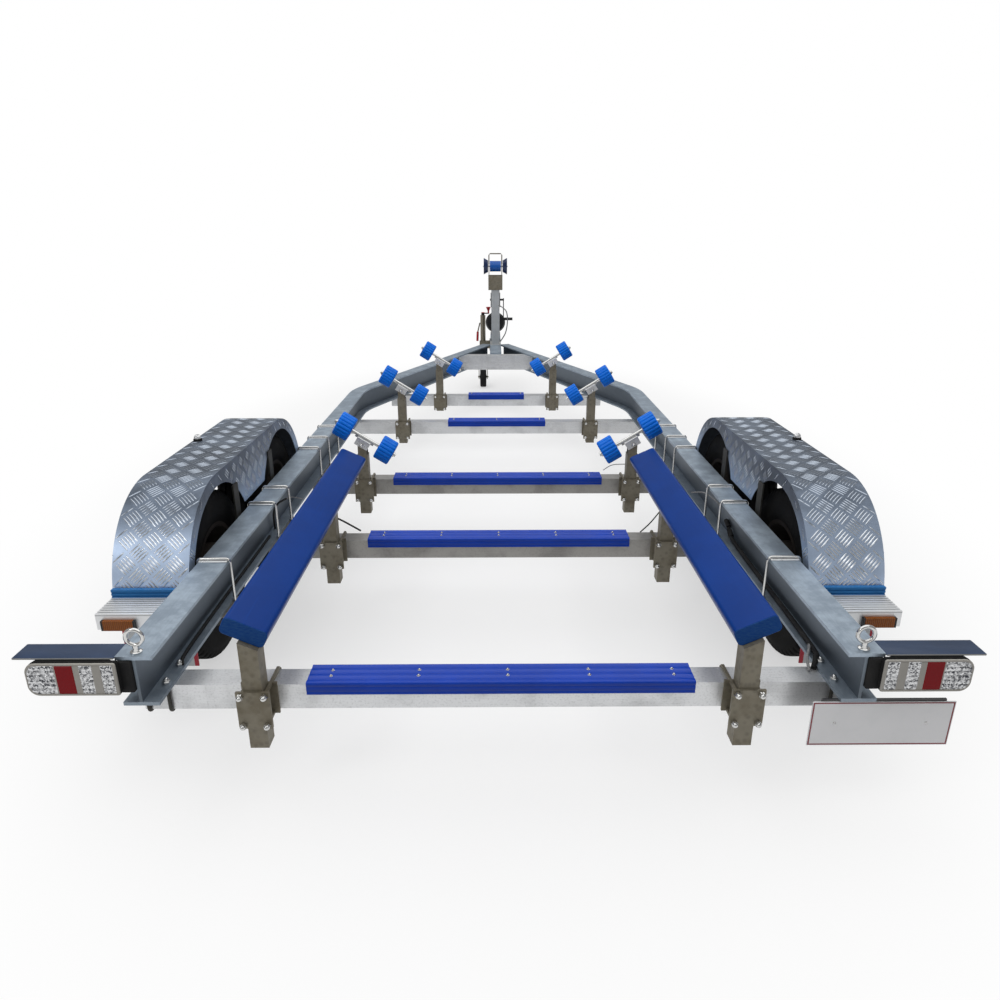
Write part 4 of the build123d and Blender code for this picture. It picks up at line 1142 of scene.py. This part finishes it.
class TRAILER_OT_blue_boards(bpy.types.Operator):
    """Bunk boards with rounded edges and ridged keel slides"""

    bl_idname = "trailer.blue_boards"
    bl_label = "Bunks and slides"

    def execute(self, context):
        tilt = math.radians(25.0)
        for word, side in SIDES:
            across = np.array([side * math.cos(tilt), 0.0, math.sin(tilt)])
            up = np.array([-side * math.sin(tilt), 0.0, math.cos(tilt)])
            skin = Skin()
            centre = spot(side * 645.0, 0.0, 535.0) - up * 0.025
            ends = [centre + np.array([0.0, y * MM, 0.0]) for y in (50.0, 1600.0)]
            skin.bar(rounded(0.120, 0.050, 0.013), ends[0], ends[1], across, up, 0.002)
            piece = skin.object("bunk_skin_" + word, ["bunk_plastic"], "trailer")
            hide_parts("bunk_" + word)

        def outline():
            """Ridged face, round edge, ridged top, round edge, face: a ridge is depth times |cos| to the power 0.6."""
            z = np.linspace(-26.0, 4.0, 31)
            face = 2.2 * (1.0 - np.abs(np.cos((z - 4.0) * math.pi / 15.0)) ** 0.6)
            y = np.linspace(-4.0, 79.0, 73)
            top = 10.0 - 2.4 * (1.0 - np.abs(np.cos((y + 4.0) * math.pi / 27.6667)) ** 0.6)
            t = np.linspace(0.0, math.pi / 2, 6)[1:-1]
            rise = np.concatenate([z, 4.0 + 6.0 * np.sin(t)])
            reach = np.concatenate([-10.0 + face, -4.0 - 6.0 * np.cos(t)])
            ys = np.concatenate([reach, y, 75.0 - reach[::-1], [75.0, 75.0, 0.0, 0.0]])
            zs = np.concatenate([rise, top, rise[::-1], [-26.0, 0.0, 0.0, -26.0]])
            return np.stack([ys, zs], axis=-1) * MM

        skin = Skin()
        for y, half in SLIDES:
            skin.bar(outline(), spot(-half, y, MEMBER_TOP), spot(half, y, MEMBER_TOP), Y_AXIS, Z_AXIS)
        piece = skin.object("slide_skins", ["slide_plastic"], "trailer", angle=50.0)
        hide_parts("keel_slides")
        return {"FINISHED"}


class TRAILER_OT_eye_bolts(bpy.types.Operator):
    """Tie-down eyes: a ring on a collared shank; markers on the mudguards"""

    bl_idname = "trailer.eye_bolts"
    bl_label = "Eye bolts"

    def execute(self, context):
        p = np.linspace(0.0, 2 * math.pi, 14, endpoint=False)
        ring = np.stack([0.0055 * np.cos(p), 0.0214 + 0.0055 * np.sin(p)], axis=-1)
        stem = [(0.0, 0.0148), (0.0040, 0.0150), (0.0058, 0.0130), (0.0065, 0.0090),
                (0.0120, 0.0078), (0.0190, 0.0080), (0.0220, 0.0070)]
        for word, side in SIDES:
            skin = Skin()
            eye = turned(ring, 44, Y_AXIS, X_AXIS, spot(side * RAIL_X, 22.0, RAIL_TOP + 42.0))
            skin.grid(eye, wrap_u=True, wrap_v=True)
            skin.closed(turned(stem, 24, Z_AXIS, X_AXIS, spot(side * RAIL_X, 22.0, RAIL_TOP)))
            piece = skin.object("eye_skin_" + word, ["chrome"], "trailer")
            if side > 0:
                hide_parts("eye_bolts")
            marker = Skin()
            base = [(-0.001, 0.0165), (0.007, 0.0170), (0.010, 0.0145)]
            dome = [(0.0096, 0.0140), (0.0165, 0.0136), (0.0220, 0.0105), (0.0252, 0.0055), (0.0260, 0.0008)]
            at = spot(side * 1203.0, 1278.0, 682.0)
            marker.closed(turned(base, 20, Z_AXIS, X_AXIS, at), 0)
            marker.closed(turned(dome, 20, Z_AXIS, X_AXIS, at), 1)
            piece = marker.object("guard_marker_" + word, ["black_rubber", "lamp_clear"], "trailer")
        return {"FINISHED"}


class TRAILER_OT_cradle_rods(bpy.types.Operator):
    """Bright rods and pivot bolts of the roller cradles"""

    bl_idname = "trailer.cradle_rods"
    bl_label = "Cradle rods"

    def execute(self, context):
        for word, side in SIDES:
            pins = Skin()
            for name, x, y, pivot in CRADLES:
                axis, up, centre = cradle(side, x, y, pivot)
                skin = Skin()
                rod = [(-0.162, 0.0075), (-0.1610, 0.0084), (-0.073, 0.0084), (0.0, 0.0084),
                       (0.073, 0.0084), (0.1610, 0.0084), (0.162, 0.0075)]
                skin.closed(turned(rod, 20, axis, Y_AXIS, centre))
                for end in (-1, 1):
                    collar = [(0.1485, 0.012), (0.1490, 0.013), (0.1545, 0.013), (0.1550, 0.012)]
                    skin.closed(turned(collar, 20, axis * end, Y_AXIS, centre))
                saddle = np.array([
                    (-29.0, -13.0), (-29.0, 24.5), (-27.5, 26.0), (27.5, 26.0), (29.0, 24.5),
                    (29.0, -13.0), (26.3, -13.0), (26.3, 23.2), (-26.3, 23.2), (-26.3, -13.0),
                ]) * MM
                low = centre - up * 0.030
                skin.bar(saddle, low - axis * 0.034, low + axis * 0.034, Y_AXIS, up, 0.0, 1)
                body = "cradle_%s_%s" % (name, word)
                piece = skin.object("cradle_rod_%s_%s" % (name, word), ["chrome", "packer"], body)
                nuts(pins, [spot(side * x, y - 60.2, pivot)], (0.0, -1.0, 0.0), 0.0115, 0.0100, 0.0080)
            piece = pins.object("pivot_nuts_" + word, ["chrome"], "trailer")
        return {"FINISHED"}


class TRAILER_OT_hoses(bpy.types.Operator):
    """Brake hoses and cable loom"""

    bl_idname = "trailer.hoses"
    bl_label = "Hoses and loom"

    def execute(self, context):
        rows = (
            ("web_left", 4.2, 0, ((-900, 1177, 323), (-900, 1174, 402), (-900, 1230, 426), (-890, 1328, 416))),
            ("branch_left", 2.0, 1, ((-890, 1328, 416), (-880, 1390, 401), (-860, 1494, 354))),
            ("ribbed_left", 3.6, 0, ((-638, 1112, 414), (-604, 1112, 395), (-544, 1112, 358))),
            ("arch_right", 2.6, 1, ((860, 1497, 380), (870, 1337, 433), (885, 1197, 440), (892, 1176, 423))),
            ("wire_right", 2.0, 1, ((630, 1874, 396), (562, 1874, 391), (519, 1874, 365))),
            ("second_right", 2.4, 0, ((634, 1112, 437), (598, 1112, 387), (561, 1112, 348))),
            ("loom_right", 7.5, 0, (
                (900, 1080, 378), (899, 1030, 356), (897, 800, 351), (896, 500, 351),
                (891, 230, 351), (880, 185, 350), (862, 150, 337))),
            ("conduit_right", 4.0, 1, ((893, 262, 349), (872, 214, 358), (853, 176, 352), (846, 140, 337))),
            ("loom_left", 5.0, 0, (
                (-897, 1085, 348), (-897, 800, 348), (-897, 500, 348), (-893, 230, 348), (-880, 170, 347))),
            ("connector_one", 9.0, 0, ((906, 1135, 388), (905, 1112, 383), (904, 1090, 378))),
            ("connector_two", 8.0, 0, ((903, 1070, 372), (902, 1052, 366), (901, 1035, 361))),
            ("booster_hose", 5.0, 1, (
                (22, 5417, 838), (68, 5354, 814), (101, 5345, 776), (110, 5388, 690), (94, 5480, 575), (40, 5530, 477))),
        )
        for name, radius, finish, points in rows:
            path = smooth([spot(*point) for point in points], 16 * len(points))
            r = np.full(len(path), radius * MM)
            if name == "ribbed_left":
                r = r * (1.0 + 0.14 * np.cos(np.arange(len(path)) * math.pi))
            skin = Skin()
            skin.tube(path, r, 12)
            chosen = ("black_rubber", "hose_grey")[finish]
            piece = skin.object("hose_" + name, [chosen], "trailer", angle=70.0)
        return {"FINISHED"}


class TRAILER_OT_lamp_boards(bpy.types.Operator):
    """Lamp shelves: thin painted shelf, black housing behind the lamp and up to the rail's web"""

    bl_idname = "trailer.lamp_boards"
    bl_label = "Lamp boards"

    def execute(self, context):
        for word, side in SIDES:
            skin = Skin()
            for shape, start, end, up, bevel, finish in (
                ((0.252, 0.070, 0.003), (1090.0, 29.0, 471.0), (1090.0, 29.0, 475.0), Y_AXIS, 0.0006, 0),
                ((0.216, 0.090, 0.026), (1068.0, -6.0, 425.5), (1068.0, -0.5, 425.5), Z_AXIS, 0.0006, 1),
                ((0.0405, 0.090, 0.008), (943.5, -6.0, 419.0), (943.5, 60.0, 419.0), Z_AXIS, 0.002, 1),
            ):
                ends = [spot(side * x, y, z) for x, y, z in (start, end)]
                skin.bar(rounded(*shape), ends[0], ends[1], X_AXIS, up, bevel, finish)
            piece = skin.object("lamp_shelf_" + word, ["board_blue", "black_rubber"], "trailer")
            if side > 0:
                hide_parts("lamp_boards")
        return {"FINISHED"}


class TRAILER_OT_tail_lamps(bpy.types.Operator):
    """Rear lamps: a dark ribbed body, grey rim, reflector cups, a red band and two clusters of facets"""

    bl_idname = "trailer.tail_lamps"
    bl_label = "Rear lamps"

    def execute(self, context):
        x_in, x_out, z_low, z_high = 953.0, 1180.0, 377.5, 470.5
        small, large = 6.0, 29.0
        deep, rim = -6.2, -24.0

        def outline(inset, count=14):
            """Closed outline of the lamp: small corners at the inner end, large quarter circles at the outer end."""
            xs, zs = [], []
            corners = ((x_in + small, z_low + small, small, 180.0), (x_out - large, z_low + large, large, 270.0),
                       (x_out - large, z_high - large, large, 0.0), (x_in + small, z_high - small, small, 90.0))
            for cx, cz, r, start in corners:
                a = np.radians(start + np.linspace(0.0, 90.0, count))
                reach = max(r - inset, 0.5)
                xs.append(cx + math.copysign(max(inset - r, 0.0), x_in + x_out - 2 * cx) + reach * np.cos(a))
                zs.append(cz + math.copysign(max(inset - r, 0.0), z_low + z_high - 2 * cz) + reach * np.sin(a))
            return np.concatenate(xs), np.concatenate(zs)

        for word, side in SIDES:
            skin = Skin()

            def rings(rows):
                out = []
                for y, inset in rows:
                    x, z = outline(inset)
                    out.append(np.stack([side * x, 0 * x + y, z], axis=-1))
                return np.stack(out) * MM + np.array([0.0, REAR, 0.0])

            ribs = [(deep, 2.0), (deep - 1, 0.5)]
            for y in (-8.5, -12.5, -16.0):
                ribs += [(y, 0.0), (y - 0.6, 1.8), (y - 2.0, 1.8), (y - 2.6, 0.0)]
            skin.closed(rings(ribs + [(-20.5, 0.0)]), 0)
            edge = [(-20.0, 0.2), (rim + 1.5, 0.4), (rim, 1.6), (rim, 6.0), (rim + 2.6, 6.6), (-20.0, 6.6)]
            skin.grid(rings(edge), wrap_u=True, wrap_v=True, finish=1)
            piece = skin.object("rear_lamp_" + word, ["black_rubber", "lamp_bezel"], "trailer", angle=30.0)
            if side > 0:
                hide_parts("tail_lamps")

            # Lens: height over columns and rows; cups and facets are products of waves, the band is smooth
            inset = 5.6
            z_mid = (z_low + z_high) / 2
            tall = (z_high - z_low) / 2 - inset
            v = np.linspace(-1.0, 1.0, 67)
            z = z_mid + v * tall
            r = large - inset
            past = np.maximum(np.abs(z - z_mid) - (tall - r), 0.0)
            reach = x_out - large + np.sqrt(np.maximum(r**2 - past**2, 0.0))
            u = np.linspace(x_in + inset, x_out - large, 129)
            tail = np.linspace(0.0, 1.0, 20)[1:]
            rounded_end = x_out - large + tail[None] * (reach[:, None] - x_out + large)
            x = np.concatenate([np.repeat(u[None], len(v), axis=0), rounded_end], axis=1)
            zz = np.repeat(z[:, None], x.shape[1], axis=1)
            cups = np.abs(np.sin((x - 1108.0) * math.pi / 12.5) * np.sin((zz - z_mid) * math.pi / 12.5)) ** 0.5
            lights = np.abs(np.cos((x - 977.0) * math.pi / 9.6) * np.cos((zz - z_mid) * math.pi / 11.0))
            star = 0.5 + 0.5 * np.cos((x + zz) * 2 * math.pi / 5.0)

            def kind(at):
                """3 on the red band, 2 on the cups and the two clusters, 1 between them."""
                led = ((at > 962.0) & (at < 992.0)) | ((at > 1013.0) & (at < 1044.0))
                return np.where((at > 1060.0) & (at < 1103.0), 3, np.where((at > 1108.0) | led, 2, 1))

            part = kind(x)
            high = np.where(part == 2, 1.8 * lights + 0.7 * star, 1.2)
            high = np.where(part == 3, 2.4, np.where(x > 1106.0, 2.6 * cups, high))
            high = high * np.minimum((1.0 - np.abs(v)[:, None]) / 0.06, 1.0)
            y = rim + 1.8 - high
            lens = np.stack([side * x, y, zz], axis=-1) * MM + np.array([0.0, REAR, 0.0])
            faces = cells(*x.shape)
            mid = (x[:-1, :-1] + x[1:, 1:]) / 2
            sheet = Skin()
            sheet.add(lens, faces if side > 0 else faces[:, ::-1], kind(mid).ravel() - 1)
            names = ["lamp_bezel", "lamp_clear", "lamp_red"]
            piece = sheet.object("lamp_lens_" + word, names, "trailer", angle=30.0, outward=False)
        return {"FINISHED"}


class TRAILER_OT_studio(bpy.types.Operator):
    """Camera, pale floor, soft lamps and white surround"""

    bl_idname = "trailer.studio"
    bl_label = "Studio"

    def execute(self, context):
        s = studio()
        scene = context.scene
        scene.view_settings.view_transform = "Standard"
        lens = bpy.data.cameras.new("camera")
        lens.sensor_width = 36.0
        lens.lens = s.lens
        lens.clip_end = 200.0
        camera = bpy.data.objects.new("camera", lens)
        camera.location = (-0.0178, REAR - 1.6168, 1.4711)
        camera.rotation_euler = (math.radians(70.14), 0.0, math.radians(-0.4857))
        scene.collection.objects.link(camera)
        scene.camera = camera

        world = bpy.data.worlds.new("surround")
        scene.world = world
        world.use_nodes = True
        tree = world.node_tree
        glow = tree.nodes["Background"]
        path = tree.nodes.new("ShaderNodeLightPath")
        seen = Field(tree, path.outputs["Is Camera Ray"])
        strength = s.ambient + seen * (1.0 - s.ambient)
        tree.links.new(strength.socket, glow.inputs["Strength"])
        glow.inputs["Color"].default_value = (1.0, 1.0, 1.0, 1.0)

        # Floor: a pale disc of rings that fades into the white surround with distance
        skin = Skin()
        rings = np.array([0.0001, 2.0, 4.0, 6.0, 9.0, 14.0, 30.0, 80.0])
        t = np.linspace(0, 2 * math.pi, 64, endpoint=False)
        reach = rings[:, None]
        points = np.stack([reach * np.cos(t), reach * np.sin(t), 0 * reach * t + GROUND], axis=-1)
        floor_mesh = bpy.data.meshes.new("floor")
        floor_mesh.from_pydata(points.reshape(-1, 3).tolist(), [], cells(len(rings), 64, wrap_v=True).tolist())
        floor = bpy.data.objects.new("floor", floor_mesh)
        scene.collection.objects.link(floor)
        f = Finish("floor", Roughness=0.9, Specular_IOR_Level=0.0)
        grain = f.noise(3.0, 3.0, 0.5)
        away = (f.x * f.x * 3.0 + f.y * f.y) ** 0.5
        light_path = f.node("ShaderNodeLightPath")
        seen = Field(f.tree, light_path.outputs["Is Camera Ray"])
        for kind in ("Is Glossy Ray", "Is Transmission Ray"):
            seen = seen.most(Field(f.tree, light_path.outputs[kind]))
        pale = f.mix(grain, (0.94, 0.94, 0.94, 1.0), (0.96, 0.96, 0.96, 1.0))
        f.set(Base_Color=f.mix(seen, (0.42, 0.42, 0.43, 1.0), pale))
        glow = f.node("ShaderNodeEmission", inputs={"Color": (1.0, 1.0, 1.0, 1.0), "Strength": 1.0})
        blend = f.node("ShaderNodeMixShader", inputs={0: (away.rise(2.7, 4.6) * 0.5 + 0.5) * seen})
        out = f.tree.nodes["Material Output"]
        f.tree.links.new(f.shader.outputs[0], blend.inputs[1])
        f.tree.links.new(glow.outputs[0], blend.inputs[2])
        f.tree.links.new(blend.outputs[0], out.inputs["Surface"])
        floor_mesh.materials.append(f.material)

        for name, place, turn, wide, long, power in (
            ("overhead", (0.0, 0.0, 6.0), (0.0, 0.0, 0.0), 9.0, 13.0, s.lamp),
            ("key", (-4.5, -6.5, 4.5), (math.radians(52), 0.0, math.radians(-35)), 2.2, 2.2, s.key),
        ):
            lamp = bpy.data.lights.new(name, "AREA")
            lamp.shape = "RECTANGLE"
            lamp.size = wide
            lamp.size_y = long
            lamp.energy = power
            holder = bpy.data.objects.new(name, lamp)
            holder.location = place
            holder.rotation_euler = turn
            scene.collection.objects.link(holder)
        return {"FINISHED"}


class TRAILER_PT_panel(bpy.types.Panel):
    """Lists the trailer's settings and operators"""

    bl_idname = "TRAILER_PT_panel"
    bl_label = "Trailer"
    bl_space_type = "VIEW_3D"
    bl_region_type = "UI"
    bl_category = "Trailer"

    def draw(self, context):
        layout = self.layout
        for group in ("trailer_colours", "trailer_sizes", "trailer_studio"):
            settings = getattr(context.scene, group)
            box = layout.box()
            for key in settings.__annotations__:
                box.prop(settings, key)
        for operator in OPERATORS:
            layout.operator(operator.bl_idname)


OPERATORS = (
    TRAILER_OT_studio,
    TRAILER_OT_finishes,
    TRAILER_OT_tread_bars,
    TRAILER_OT_rollers,
    TRAILER_OT_tyres,
    TRAILER_OT_wheel_fittings,
    TRAILER_OT_fasteners,
    TRAILER_OT_tail_lamps,
    TRAILER_OT_rail_clamps,
    TRAILER_OT_blue_boards,
    TRAILER_OT_eye_bolts,
    TRAILER_OT_cradle_rods,
    TRAILER_OT_hoses,
    TRAILER_OT_lamp_boards,
)
CLASSES = (TrailerColours, TrailerSizes, TrailerStudio) + OPERATORS + (TRAILER_PT_panel,)


def register():
    for entry in CLASSES:
        bpy.utils.register_class(entry)
    bpy.types.Scene.trailer_colours = bpy.props.PointerProperty(type=TrailerColours)
    bpy.types.Scene.trailer_sizes = bpy.props.PointerProperty(type=TrailerSizes)
    bpy.types.Scene.trailer_studio = bpy.props.PointerProperty(type=TrailerStudio)


def unregister():
    del bpy.types.Scene.trailer_colours
    del bpy.types.Scene.trailer_sizes
    del bpy.types.Scene.trailer_studio
    for entry in reversed(CLASSES):
        bpy.utils.unregister_class(entry)


def main():
    register()
    bpy.ops.trailer.studio()
    bpy.ops.trailer.finishes()
    bpy.ops.trailer.tread_bars()
    bpy.ops.trailer.rollers()
    bpy.ops.trailer.tyres()
    bpy.ops.trailer.wheel_fittings()
    bpy.ops.trailer.fasteners()
    bpy.ops.trailer.tail_lamps()
    bpy.ops.trailer.rail_clamps()
    bpy.ops.trailer.blue_boards()
    bpy.ops.trailer.eye_bolts()
    bpy.ops.trailer.cradle_rods()
    bpy.ops.trailer.hoses()
    bpy.ops.trailer.lamp_boards()


if __name__ == "__main__":
    main()
